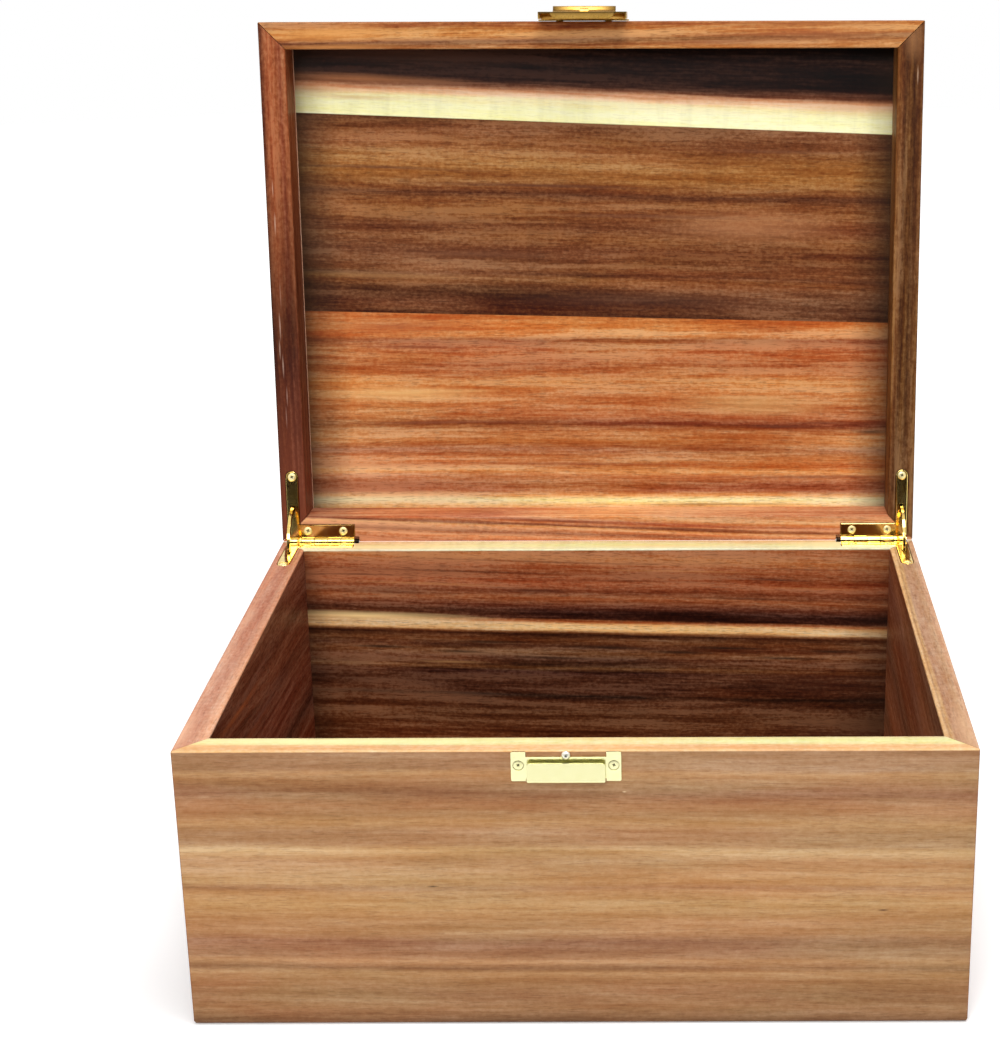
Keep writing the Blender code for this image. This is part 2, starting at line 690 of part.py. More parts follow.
def build_flap(origin):
    """Lever with side flanges: a hook bent inwards at its free end, a raised thumb tab at the other."""
    pivot = add_empty("latch_flap_pivot", (0, -FLAP_PIVOT_STANDOFF, FLAP_PIVOT_HEIGHT), origin)
    top = FLAP_UNDERSIDE + SHEET / 2 - FLAP_PIVOT_STANDOFF
    floor = FLAP_FLOOR - FLAP_PIVOT_STANDOFF
    hook = -(KEEPER_BOTTOM + RIM_GAP + HOOK_GAP + SHEET / 2) - FLAP_PIVOT_HEIGHT
    free_end = hook + HOOK_BEND
    side_mid = FLAP_HALF_WIDTH - SHEET / 2
    tab = THUMB_HALF_WIDTH
    behind = arc((0, 0), -floor, -math.pi / 2, 0, ARC_STEPS // 2)
    rows = [(free_end, floor)] + behind
    thumb_end = THUMB_HEIGHT - FLAP_PIVOT_HEIGHT
    hook_bend = arc((free_end, top - HOOK_BEND), HOOK_BEND, math.pi / 2, math.pi, 2)
    tip = HOOK_TIP_STANDOFF - FLAP_PIVOT_STANDOFF
    tip_half = tab - HOOK_TIP_INSET
    strips = [
        [((-tab, v, top), (tab, v, top)) for v, _ in rows]
        + [((-tab, thumb_end, top + THUMB_RISE), (tab, thumb_end, top + THUMB_RISE))],
        [((-tab, v, w), (tab, v, w)) for v, w in hook_bend]
        + [((-tip_half, hook, tip), (tip_half, hook, tip))],
    ]
    for sign in SIDES.values():
        strips.append([((sign * tab, v, top), (sign * side_mid, v, top)) for v, _ in rows])
        strips.append([((sign * side_mid, v, top), (sign * side_mid, v, w)) for v, w in rows])
    flap = folded_sheet("latch_flap", strips, SHEET, pivot, BRASS)
    pin_hole = LATCH_PIN_RADIUS + PIN_GAP
    bore_end = FLAP_HALF_WIDTH + OVERRUN
    tab_start, tab_rise = behind[-1][0], THUMB_RISE
    across_v, across_w = unit(-tab_rise, thumb_end - tab_start)
    lift = SHEET / 2 + RIB_RISE
    foot = [(tab_start + share * (thumb_end - tab_start), top + share * tab_rise) for share in RIB_FOOT_SHARES]
    crest = [
        (tab_start + share * (thumb_end - tab_start) + lift * across_v, top + share * tab_rise + lift * across_w)
        for share in RIB_TOP_SHARES
    ]
    outline = [foot[0], foot[1], crest[1], crest[0]]
    rib = prism("flap_rib", outline, -RIB_HALF_WIDTH, RIB_HALF_WIDTH, lambda v, w, u: (u, -w, v))
    join(flap, add_helper("flap_rib", rib, pivot))
    cut(flap, add_helper("flap_bore", rod("flap_bore", pin_hole, -bore_end, bore_end, SCREW_SIDES), pivot))


def build_chest():
    clear_scene()
    hinge_line = add_empty("hinge_line", (0, DEPTH / 2, HINGE_HEIGHT))
    lid_axis = add_empty("lid_axis", (0, 0, 0), hinge_line, -OPEN_ANGLE)
    body_boards = build_body()
    lid_boards = build_lid(lid_axis)
    screw, round_screw = build_screw_meshes()
    for side in SIDES:
        build_leaf(side, "body", hinge_line, body_boards, screw)
        build_leaf(side, "lid", lid_axis, lid_boards, screw)
        build_hinge_pin(side, hinge_line)
        build_stay(side, hinge_line)
    build_keeper(body_boards["front"], screw, round_screw)
    build_flap(build_latch_base(lid_boards["front"], screw, lid_axis))


build_chest()
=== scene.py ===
import math

import bmesh
import bpy
import numpy as np
from mathutils import Matrix, Vector


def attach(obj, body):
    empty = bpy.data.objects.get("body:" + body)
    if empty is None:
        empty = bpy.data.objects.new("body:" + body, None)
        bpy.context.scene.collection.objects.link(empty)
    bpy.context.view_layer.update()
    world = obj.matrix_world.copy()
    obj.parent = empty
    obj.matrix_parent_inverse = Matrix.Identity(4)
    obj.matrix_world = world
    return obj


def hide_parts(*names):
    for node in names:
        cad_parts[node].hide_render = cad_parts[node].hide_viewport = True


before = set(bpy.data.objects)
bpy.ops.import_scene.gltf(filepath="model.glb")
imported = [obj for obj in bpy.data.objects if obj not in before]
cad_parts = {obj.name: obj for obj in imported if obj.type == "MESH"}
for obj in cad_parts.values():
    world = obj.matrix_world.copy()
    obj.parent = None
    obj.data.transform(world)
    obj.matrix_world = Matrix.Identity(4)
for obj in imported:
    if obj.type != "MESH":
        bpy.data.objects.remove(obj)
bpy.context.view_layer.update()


# Photo table: a matt white sheet, a long lens in front and above, one soft box in front and one
# overhead. Seen by the lens or a mirror the sheet glows and vanishes, but it keeps a soft shadow. A
# black flag that only mirrors see gives the brass its dark reflections.

def linear(hex_colour):
    """sRGB hex to linear red, green, blue, alpha: each channel by the two-part sRGB curve."""
    channels = [int(hex_colour[i:i + 2], 16) / 255 for i in (1, 3, 5)]
    return [c / 12.92 if c <= 0.04045 else ((c + 0.055) / 1.055) ** 2.4 for c in channels] + [1.0]


def add_node(tree, kind, links=(), **settings):
    """Adds a node. links are (input, value) pairs: a socket is linked, anything else is set."""
    node = tree.nodes.new(kind)
    for name, value in settings.items():
        setattr(node, name, value)
    for name, value in links:
        if isinstance(value, bpy.types.NodeSocket):
            tree.links.new(value, node.inputs[name])
        else:
            node.inputs[name].default_value = value
    return node


def start_material(name):
    """An empty node material and its output node."""
    material = bpy.data.materials.new(name)
    material.use_nodes = True
    material.node_tree.nodes.clear()
    return material, material.node_tree, material.node_tree.nodes.new("ShaderNodeOutputMaterial")


def seen_ray(tree):
    """1 where a ray from the camera, a mirror or glass meets the surface, 0 for scattered light."""
    path = add_node(tree, "ShaderNodeLightPath")
    either = add_node(tree, "ShaderNodeMath", ((0, path.outputs["Is Camera Ray"]),
                                               (1, path.outputs["Is Glossy Ray"])), operation="MAXIMUM")
    return add_node(tree, "ShaderNodeMath", ((0, either.outputs[0]),
                                             (1, path.outputs["Is Transmission Ray"])),
                    operation="MAXIMUM").outputs[0]


def new_object(name, data):
    """An object with that mesh, lamp or camera, linked into the scene."""
    thing = bpy.data.objects.new(name, data)
    bpy.context.scene.collection.objects.link(thing)
    return thing


table_paper, paper_tree, paper_out = start_material("matt_white_table_paper")
paper_spot = add_node(paper_tree, "ShaderNodeTexCoord").outputs["Object"]
paper_fibre = add_node(paper_tree, "ShaderNodeTexNoise", (
    ("Vector", paper_spot), ("Scale", 900.0), ("Detail", 3.0)))
paper_tint = add_node(paper_tree, "ShaderNodeMix", (
    (0, paper_fibre.outputs["Fac"]), (6, linear("#f0efee")), (7, linear("#f7f7f6"))), data_type="RGBA")
paper_place = add_node(paper_tree, "ShaderNodeSeparateXYZ", ((0, paper_spot),)).outputs
# The glow is least, 0.08, in front of the chest and grows to 1 towards the back, the front and the sides.
paper_lift = add_node(paper_tree, "ShaderNodeMapRange", (
    ("Value", paper_place[1]), ("From Min", -0.32), ("From Max", 0.95), ("To Min", 0.08)))
paper_front = add_node(paper_tree, "ShaderNodeMapRange", (
    ("Value", paper_place[1]), ("From Min", -0.48), ("From Max", -1.05)))
paper_aside = add_node(paper_tree, "ShaderNodeMath", ((0, paper_place[0]),), operation="ABSOLUTE")
paper_side = add_node(paper_tree, "ShaderNodeMapRange", (
    ("Value", paper_aside.outputs[0]), ("From Min", 0.45), ("From Max", 0.95)))
for rise in (paper_front, paper_side):
    paper_lift = add_node(paper_tree, "ShaderNodeMath", (
        (0, paper_lift.outputs[0]), (1, rise.outputs[0])), operation="MAXIMUM")
paper_matt = add_node(paper_tree, "ShaderNodeBsdfDiffuse", (("Color", paper_tint.outputs[2]),))
paper_glow = add_node(paper_tree, "ShaderNodeEmission", (
    ("Color", linear("#ffffff")), ("Strength", paper_lift.outputs[0])))
paper_sum = add_node(paper_tree, "ShaderNodeAddShader", (
    (0, paper_matt.outputs[0]), (1, paper_glow.outputs[0])))
paper_mix = add_node(paper_tree, "ShaderNodeMixShader", (
    (0, seen_ray(paper_tree)), (1, paper_matt.outputs[0]), (2, paper_sum.outputs[0])))
paper_tree.links.new(paper_mix.outputs[0], paper_out.inputs["Surface"])

sheet_radius, sheet_height, sheet_sides = 2.6, -0.0003, 96
sheet_mesh = bpy.data.meshes.new("table_sheet")
turn = np.linspace(0, 2 * np.pi, sheet_sides, endpoint=False)
rim = np.stack([sheet_radius * np.cos(turn), sheet_radius * np.sin(turn),
                np.full(sheet_sides, sheet_height)], 1)
sheet_mesh.from_pydata(rim.tolist(), [], [list(range(sheet_sides))])
table_sheet = new_object("table_sheet", sheet_mesh)
sheet_mesh.materials.append(table_paper)

studio = bpy.data.worlds.new("white_studio")
bpy.context.scene.world = studio
studio.use_nodes = True
studio_tree = studio.node_tree
studio_tree.nodes.clear()
studio_fill, studio_white = 0.18, 1.0
studio_level = add_node(studio_tree, "ShaderNodeMix", (
    (0, seen_ray(studio_tree)), (2, studio_fill), (3, studio_white)), data_type="FLOAT")
studio_sky = add_node(studio_tree, "ShaderNodeBackground", (
    ("Color", linear("#ffffff")), ("Strength", studio_level.outputs[0])))
studio_out = studio_tree.nodes.new("ShaderNodeOutputWorld")
studio_tree.links.new(studio_sky.outputs[0], studio_out.inputs["Surface"])


def soft_box(name, place, aim, width, height, power):
    """Rectangular lamp at place that faces aim; power in watts."""
    lamp = bpy.data.lights.new(name, "AREA")
    lamp.shape = "RECTANGLE"
    lamp.size, lamp.size_y, lamp.energy = width, height, power
    stand = new_object(name, lamp)
    stand.location = place
    stand.rotation_euler = (Vector(aim) - Vector(place)).to_track_quat("-Z", "Y").to_euler()


soft_box("soft_box_front", (-0.15, -1.35, 1.0), (0, 0, 0.12), 0.9, 0.7, 16.4)
soft_box("soft_box_top", (0.15, -0.35, 1.45), (0, 0, 0.1), 0.8, 0.6, 14.6)

flag_half, flag_near, flag_far, flag_low, flag_high = 0.52, -0.56, -0.9, 0.0006, 0.62
flag_mesh = bpy.data.meshes.new("black_flag")
flag_mesh.from_pydata(
    [(-flag_half, flag_near, flag_low), (flag_half, flag_near, flag_low), (flag_half, flag_far, flag_low),
     (-flag_half, flag_far, flag_low), (flag_half, flag_far, flag_high), (-flag_half, flag_far, flag_high)],
    [], [(0, 3, 2, 1), (3, 5, 4, 2)])
black_flag = new_object("black_flag", flag_mesh)
flag_cloth, flag_tree, flag_out = start_material("black_flag_cloth")
flag_spot = add_node(flag_tree, "ShaderNodeTexCoord").outputs["Object"]
flag_nap = add_node(flag_tree, "ShaderNodeTexNoise", (
    ("Vector", flag_spot), ("Scale", 40.0), ("Detail", 3.0)))
flag_tint = add_node(flag_tree, "ShaderNodeMix", (
    (0, flag_nap.outputs["Fac"]), (6, linear("#16120f")), (7, linear("#2a211a"))), data_type="RGBA")
# The cloth is a faint glow, not lit by the lamps: a painted dark reflection for the brass.
flag_glow = add_node(flag_tree, "ShaderNodeEmission", (("Color", flag_tint.outputs[2]),))
flag_tree.links.new(flag_glow.outputs[0], flag_out.inputs["Surface"])
flag_mesh.materials.append(flag_cloth)
black_flag.visible_camera = black_flag.visible_diffuse = False
black_flag.visible_shadow = black_flag.visible_transmission = False

# The lens, its shift, its place and its turn are fitted to the corners of body and lid in the photograph.
lens = bpy.data.cameras.new("long_lens")
lens.lens = 74.0
lens.sensor_width = 36.0
lens.shift_x = -0.1725
lens.shift_y = 0.0314
camera = new_object("long_lens", lens)
camera.location = (0.03828, -0.84393, 0.44432)
camera.rotation_euler = (math.radians(70.87), math.radians(0.15), math.radians(-0.09))
bpy.context.scene.camera = camera
bpy.context.scene.view_settings.view_transform = "Standard"


# Body front: an acacia board, 12 mm thick, mitred at both ends and glued, with a thin edging of pale
# sapwood along its rim, sanded and given a satin lacquer. Sandpaper leaves its edges slightly round.

def merged_copy(name, node_name, reshape=None, cuts=()):
    """A CAD node's loose triangles joined at their equal corners, with flat groups made one face. cuts
    are (point, normal) planes that add edges, and reshape then moves the corners."""
    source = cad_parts[node_name].data
    corners = np.empty(len(source.vertices) * 3, np.float32)
    source.vertices.foreach_get("co", corners)
    triangles = np.empty(len(source.loops), np.int32)
    source.loops.foreach_get("vertex_index", triangles)
    spots, index = np.unique(corners.reshape(-1, 3), axis=0, return_inverse=True)
    mesh = bpy.data.meshes.new(name)
    mesh.from_pydata(spots.tolist(), [], index.ravel()[triangles].reshape(-1, 3).tolist())
    mesh.validate()
    shape = bmesh.new()
    shape.from_mesh(mesh)
    bmesh.ops.dissolve_limit(shape, angle_limit=math.radians(0.4), verts=shape.verts, edges=shape.edges)
    for point, normal in cuts:
        bmesh.ops.bisect_plane(shape, geom=shape.verts[:] + shape.edges[:] + shape.faces[:], dist=1e-7,
                               plane_co=point, plane_no=normal)
    shape.to_mesh(mesh)
    shape.free()
    if reshape:
        spots = np.empty(len(mesh.vertices) * 3)
        mesh.vertices.foreach_get("co", spots)
        mesh.vertices.foreach_set("co", reshape(spots.reshape(-1, 3)).ravel())
        shape = bmesh.new()
        shape.from_mesh(mesh)
        bmesh.ops.remove_doubles(shape, verts=shape.verts, dist=1e-6)
        shape.to_mesh(mesh)
        shape.free()
    return new_object(name, mesh)


def ease_edges(piece, width, above=50, steps=2, chosen=False):
    """Gives edges sharper than the angle a narrow round, or only chosen ones, those with a bevel weight
    of their own, and shades rounds smoothly and flats flat."""
    piece.data.shade_smooth()
    piece.data.set_sharp_from_angle(angle=math.radians(above))
    bevel = piece.modifiers.new("eased edges", "BEVEL")
    bevel.width, bevel.segments = width, steps
    bevel.limit_method, bevel.angle_limit = "ANGLE", math.radians(above)
    bevel.miter_outer = "MITER_ARC"
    if chosen:
        bevel.limit_method, bevel.use_clamp_overlap = "WEIGHT", False
    weighted = piece.modifiers.new("flat faces stay flat", "WEIGHTED_NORMAL")
    weighted.weight = 100
    weighted.keep_sharp = False


def board_axes(origin, grain, across):
    """Settings of a Mapping node that turns frame coordinates into (along, across, through) the board."""
    grain, across = Vector(grain).normalized(), Vector(across).normalized()
    turn = Matrix((grain, across, grain.cross(across)))
    return (("Location", -(turn @ Vector(origin))), ("Rotation", turn.to_euler()))


def plank_figure(tree, seed, origin, grain, across, bands, slope=0.0, wave=0.004, blur=0.0014,
                 streak=0.3, line=330.0, fibre=0.35, mottle=0.7, pore=0.3, ripple=0.10, hues=(),
                 marks=(), shades=(), inner=-1.0):
    """Colour of one plank. The distance across the grain, tilted by slope, bent by a slow wave and
    roughened by a fine one, picks a colour between the bands (millimetres, colour), under clouds of the
    hues (colour, strength). The colour is then raised to the power of the wood's density, 1 on average:
    growth streaks, streaks of 3 mm, fibres of 1 mm and a mottle of 1.5 mm are denser or lighter, so dark
    ones are also redder. Pores 0.6 mm wide and a faint cross ripple darken it. marks are (along, across,
    half length, half height, colour, strength) streaks and flecks, and shades are (axis, from, to,
    colour, strength) ramps towards a colour: painted shade where a board meets a corner or the lid's
    frame, and on the lid's left rail a lighter red towards its lower end, all in millimetres. shades only
    colour the side where the distance through the board is above inner."""
    spot = add_node(tree, "ShaderNodeTexCoord").outputs["Object"]
    board = add_node(tree, "ShaderNodeMapping", (("Vector", spot),) + board_axes(origin, grain, across))
    part = add_node(tree, "ShaderNodeSeparateXYZ", ((0, board.outputs[0]),)).outputs
    shift = Vector((seed * 1.7, seed * 3.1, seed * 0.9))
    slow_place = add_node(tree, "ShaderNodeMapping", (
        ("Vector", board.outputs[0]), ("Scale", (4.5, 20, 20)), ("Location", shift)))
    slow = add_node(tree, "ShaderNodeTexNoise", (
        ("Vector", slow_place.outputs[0]), ("Scale", 1.0), ("Detail", 2.0), ("Roughness", 0.5)))
    lean = add_node(tree, "ShaderNodeMath", (
        (0, part[0]), (1, -slope), (2, part[1])), operation="MULTIPLY_ADD")
    bent = add_node(tree, "ShaderNodeMath", (
        (0, slow.outputs["Fac"]), (1, wave), (2, lean.outputs[0])), operation="MULTIPLY_ADD")
    level = add_node(tree, "ShaderNodeMath", (
        (0, bent.outputs[0]), (1, -wave / 2)), operation="ADD").outputs[0]
    follow = add_node(tree, "ShaderNodeCombineXYZ", ((0, part[0]), (1, level), (2, part[2]))).outputs[0]

    layers = {}
    for layer, scale, detail, roughness in (
            ("edge", (14, 420, 420), 4, 0.62), ("growth", (4.5, line / 6, line / 6), 3, 0.55),
            ("streaks", (14, line, line), 5, 0.55), ("fibres", (85, 950, 950), 3, 0.6),
            ("mottle", (480, 640, 640), 2, 0.6), ("pores", (190, 1700, 1700), 2, 0.55),
            ("cross", (190, 26, 26), 3, 0.6), *((hue, (7, 48, 48), 3, 0.55) for hue, _ in hues)):
        shift = shift + Vector((3.1, 7.3, 5.9))
        stretched = add_node(tree, "ShaderNodeMapping", (
            ("Vector", follow), ("Scale", scale), ("Location", shift)))
        layers[layer] = add_node(tree, "ShaderNodeTexNoise", (
            ("Vector", stretched.outputs[0]), ("Scale", 1.0), ("Detail", detail),
            ("Roughness", roughness))).outputs["Fac"]

    rough = add_node(tree, "ShaderNodeMath", (
        (0, layers["edge"]), (1, blur), (2, level)), operation="MULTIPLY_ADD")
    low, high = bands[0][0] / 1000, bands[-1][0] / 1000
    share = add_node(tree, "ShaderNodeMapRange", (
        ("Value", rough.outputs[0]), ("From Min", low + blur / 2), ("From Max", high + blur / 2)))
    ramp = add_node(tree, "ShaderNodeValToRGB", ((0, share.outputs[0]),))
    stops = ramp.color_ramp.elements
    while len(stops) < len(bands):
        stops.new(0.5)
    for stop, (place, colour) in zip(stops, bands):
        stop.position = (place / 1000 - low) / (high - low)
        stop.color = linear(colour)

    weights = (("growth", 2.4 * streak), ("streaks", 3.4 * streak), ("fibres", 1.7 * fibre),
               ("mottle", mottle))
    lightest = 0.78
    density = 1 - sum(weight for _, weight in weights) / 2
    for layer, weight in weights:
        density = add_node(tree, "ShaderNodeMath", (
            (0, layers[layer]), (1, weight), (2, density)), operation="MULTIPLY_ADD").outputs[0]
    density = add_node(tree, "ShaderNodeMath", (
        (0, density), (1, lightest)), operation="MAXIMUM").outputs[0]

    clouds = [(layers[hue], 0.46, 0.66, hue, strength, "MIX") for hue, strength in hues]
    coats = [(layers["pores"], 0.53, 0.66, "#7a5238", pore, "MULTIPLY"),
             (layers["cross"], 0.42, 0.68, "#7c7672", ripple, "MULTIPLY")]
    for along, aside, long, high_half, tone, strength in marks:
        near = add_node(tree, "ShaderNodeMapping", (
            ("Vector", follow), ("Scale", (1000 / long, 1000 / high_half, 0)),
            ("Location", (-along / long, -aside / high_half, 0))))
        reach = add_node(tree, "ShaderNodeVectorMath", ((0, near.outputs[0]),), operation="LENGTH")
        ragged = add_node(tree, "ShaderNodeMath", (
            (0, layers["edge"]), (1, 0.9), (2, reach.outputs["Value"])), operation="MULTIPLY_ADD")
        coats.append((ragged.outputs[0], 1.5, 0.5, tone, strength, "MIX"))
    # Ramps towards a colour, mostly painted shade in corners and along the frame.
    for axis, start, end, tone, strength in shades:
        coats.append((part[axis], start / 1000, end / 1000, tone, strength, "MIX"))
    colour = ramp.outputs[0]
    inside = add_node(tree, "ShaderNodeMath", ((0, part[2]), (1, inner)), operation="GREATER_THAN")
    for number, (factor, low_at, high_at, tone, strength, blend) in enumerate(clouds + coats):
        if number == len(clouds):
            colour = add_node(tree, "ShaderNodeGamma", ((0, colour), (1, density))).outputs[0]
        reach = add_node(tree, "ShaderNodeMapRange", (
            ("Value", factor), ("From Min", low_at), ("From Max", high_at),
            ("To Min", 0.0), ("To Max", strength)))
        if number >= len(clouds + coats) - len(shades):
            reach = add_node(tree, "ShaderNodeMath", (
                (0, reach.outputs[0]), (1, inside.outputs[0])), operation="MULTIPLY")
        colour = add_node(tree, "ShaderNodeMix", (
            (0, reach.outputs[0]), (6, colour), (7, linear(tone))), data_type="RGBA",
            blend_type=blend).outputs[2]
    return colour, layers["pores"], layers["streaks"]


def side_of(tree, point, normal, soft):
    """0 behind a plane and 1 in front of it, with a soft step of that width in metres."""
    spot = add_node(tree, "ShaderNodeTexCoord").outputs["Object"]
    normal = Vector(normal)
    height = add_node(tree, "ShaderNodeVectorMath", ((0, spot), (1, normal)), operation="DOT_PRODUCT")
    middle = Vector(point).dot(normal)
    return add_node(tree, "ShaderNodeMapRange", (
        ("Value", height.outputs["Value"]), ("From Min", middle - soft / 2),
        ("From Max", middle + soft / 2))).outputs[0]


def acacia(name, first, *others, roughness=0.44):
    """Satin-lacquered acacia. first is the figure of the plank that fills the piece, and others are
    (plane, figure) pairs that cover it in front of their planes. Pores are duller and lie deeper."""
    material, tree, out = start_material(name)
    colour, pores, streaks = plank_figure(tree, **first)
    for plane, figure in others:
        over, _, _ = plank_figure(tree, **figure)
        colour = add_node(tree, "ShaderNodeMix", (
            (0, side_of(tree, *plane)), (6, colour), (7, over)), data_type="RGBA").outputs[2]
    dull = add_node(tree, "ShaderNodeMapRange", (
        ("Value", pores), ("From Min", 0.4), ("From Max", 0.7), ("To Min", roughness - 0.05),
        ("To Max", roughness + 0.14))).outputs[0]
    relief = add_node(tree, "ShaderNodeMath", ((0, pores), (1, streaks)), operation="ADD").outputs[0]
    bump = add_node(tree, "ShaderNodeBump", (("Height", relief), ("Strength", 0.3), ("Distance", 0.0001)))
    shader = add_node(tree, "ShaderNodeBsdfPrincipled", (
        ("Base Color", colour), ("Roughness", dull), ("Normal", bump.outputs[0]),
        ("Specular IOR Level", 0.1)))
    tree.links.new(shader.outputs[0], out.inputs["Surface"])
    return material


def board(name, node_name, material, body, slot, reshape=None):
    """A sanded wooden piece that stands for one CAD board."""
    sanded_round = 0.00014
    piece = merged_copy(name, node_name, reshape)
    ease_edges(piece, sanded_round)
    piece.data.materials.append(material)
    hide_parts(node_name)
    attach(piece, body)


body_top, edging = 0.116, 0.0007
rim_plane = ((0, 0, body_top - edging), (0, 0, 1), 0.0002)
front_wood = acacia(
    "lacquered_acacia_front_board",
    dict(seed=1, origin=(0, -0.12, 0), grain=(1, 0, 0), across=(0, 0, 1), slope=-0.006, wave=0.005,
         bands=[(0, "#674a34"), (3, "#805c3f"), (7, "#966e4b"), (13, "#906848"), (19, "#9d734e"),
                (22.6, "#ac8259"), (25, "#896142"), (27.8, "#b2855d"), (30, "#9a6f4e"), (36, "#91674c"),
                (40, "#a6774f"), (44, "#ae8159"), (52, "#b38858"), (57, "#b28559"), (58.5, "#a07551"),
                (61, "#b3885a"), (70, "#b0845c"), (74.5, "#c19a6b"), (77, "#a67e59"), (82, "#a17854"),
                (86, "#b2885c"), (89, "#a57c56"), (93, "#a5744f"), (98, "#8f6348"), (102, "#976a47"),
                (106, "#b4885e"), (108, "#9d7554"), (113, "#a07856"), (116, "#9a7251")],
         streak=0.22, fibre=0.2, mottle=0.3, pore=0.2, ripple=0.05,
         hues=[("#b4744c", 0.2), ("#9b8158", 0.34)],
         marks=[(-55, 59.6, 2.6, 0.45, "#4a3426", 0.9), (-48, 59.2, 5.0, 0.5, "#8f6a4a", 0.5),
                (116, 49.5, 2.2, 0.45, "#4a3022", 0.9), (18, 98.5, 1.0, 0.35, "#e6cda6", 0.8)]),
    (rim_plane,
     dict(seed=2, origin=(0, -0.12, 0.116), grain=(1, 0, 0), across=(0, 1, 0), slope=-0.005, wave=0.003,
          bands=[(0, "#dcad7d"), (1.2, "#dfa775"), (4.4, "#e1ad7b"), (5.4, "#e6d798"), (7.6, "#e7e7a6"),
                 (10, "#e5dc9d"), (12, "#dcbf8b")],
          streak=0.14, pore=0.12, blur=0.0009,
          hues=[("#f3c98f", 0.5)],
          marks=[(-96, 10.6, 11, 0.7, "#7d5236", 0.75), (62, 2.0, 60, 1.0, "#e0a36c", 0.5),
                 (-96, 8.4, 84, 4.4, "#f7efb4", 0.65)])),
)
board("front_board", "front_panel", front_wood, "chest", "acacia_light")


# Body sides: two more mitred boards of redder heartwood, with the hinge seats and the pockets that the
# stays sink into. The left rim's edging is salmon pink, the right one's tan with a pale inner strip.

left_wood = acacia(
    "lacquered_acacia_left_board",
    dict(seed=5, origin=(-0.15, 0, 0), grain=(0, 1, 0), across=(0, 0, 1), slope=-0.12, wave=0.022,
         bands=[(0, "#733a28"), (14, "#86452f"), (22, "#633224"), (30, "#82442f"), (44, "#8f4f34"),
                (54, "#552d1f"), (60, "#80442e"), (72, "#8a4c36"), (84, "#623326"), (92, "#844932"),
                (104, "#723e2b"), (116, "#844d36")],
         streak=0.5, pore=0.4, hues=[("#9c5a38", 0.4)],
         marks=[(-56, 98, 50, 2.4, "#bd6c40", 0.75), (-40, 90, 50, 2.2, "#3f2017", 0.6),
                (-30, 82, 46, 3.0, "#a85c38", 0.55)]),
    (rim_plane,
     dict(seed=6, origin=(-0.15, 0, 0.116), grain=(0, 1, 0), across=(1, 0, 0), slope=0.012, wave=0.005,
          bands=[(0, "#c88769"), (2, "#d59574"), (4, "#c08165"), (7, "#bb7c61"), (9, "#c28668"),
                 (11, "#d79875"), (12, "#e3a881")],
          streak=0.2, pore=0.2,
          hues=[("#e2ae90", 0.65), ("#a97664", 0.4)],
          marks=[(-104, 3, 22, 4, "#eab796", 0.8), (20, 3, 16, 3, "#dfab8c", 0.6)])),
)
board("left_side_board", "left_side_panel", left_wood, "chest", "acacia_mid")

right_wood = acacia(
    "lacquered_acacia_right_board",
    dict(seed=8, origin=(0.15, 0, 0), grain=(0, 1, 0), across=(0, 0, 1), slope=0.05, wave=0.014,
         bands=[(0, "#985c3d"), (16, "#aa6841"), (28, "#8c5a3b"), (40, "#b67048"), (56, "#965c3d"),
                (64, "#764a32"), (78, "#9f6240"), (94, "#8f5a43"), (104, "#a56a46"), (116, "#86563b")],
         streak=0.4, pore=0.4, hues=[("#8e5738", 0.4)],
         marks=[(-60, 96, 60, 9, "#c27a4c", 0.5)]),
    (rim_plane,
     dict(seed=9, origin=(0.15, 0, 0.116), grain=(0, 1, 0), across=(-1, 0, 0), slope=0.0, wave=0.0035,
          bands=[(0, "#ddaf8b"), (1.2, "#cb9b78"), (3, "#b88b64"), (6, "#b48665"), (8, "#ae8060"),
                 (9.2, "#c69864"), (9.8, "#ae8057"), (10.6, "#dcae7a"), (12, "#e2b580")],
          streak=0.22, pore=0.3, hues=[("#c39a70", 0.4)],
          marks=[(-104, 4, 34, 5, "#e0b48e", 0.5)])),
)
board("right_side_board", "right_side_panel", right_wood, "chest", "acacia_mid")
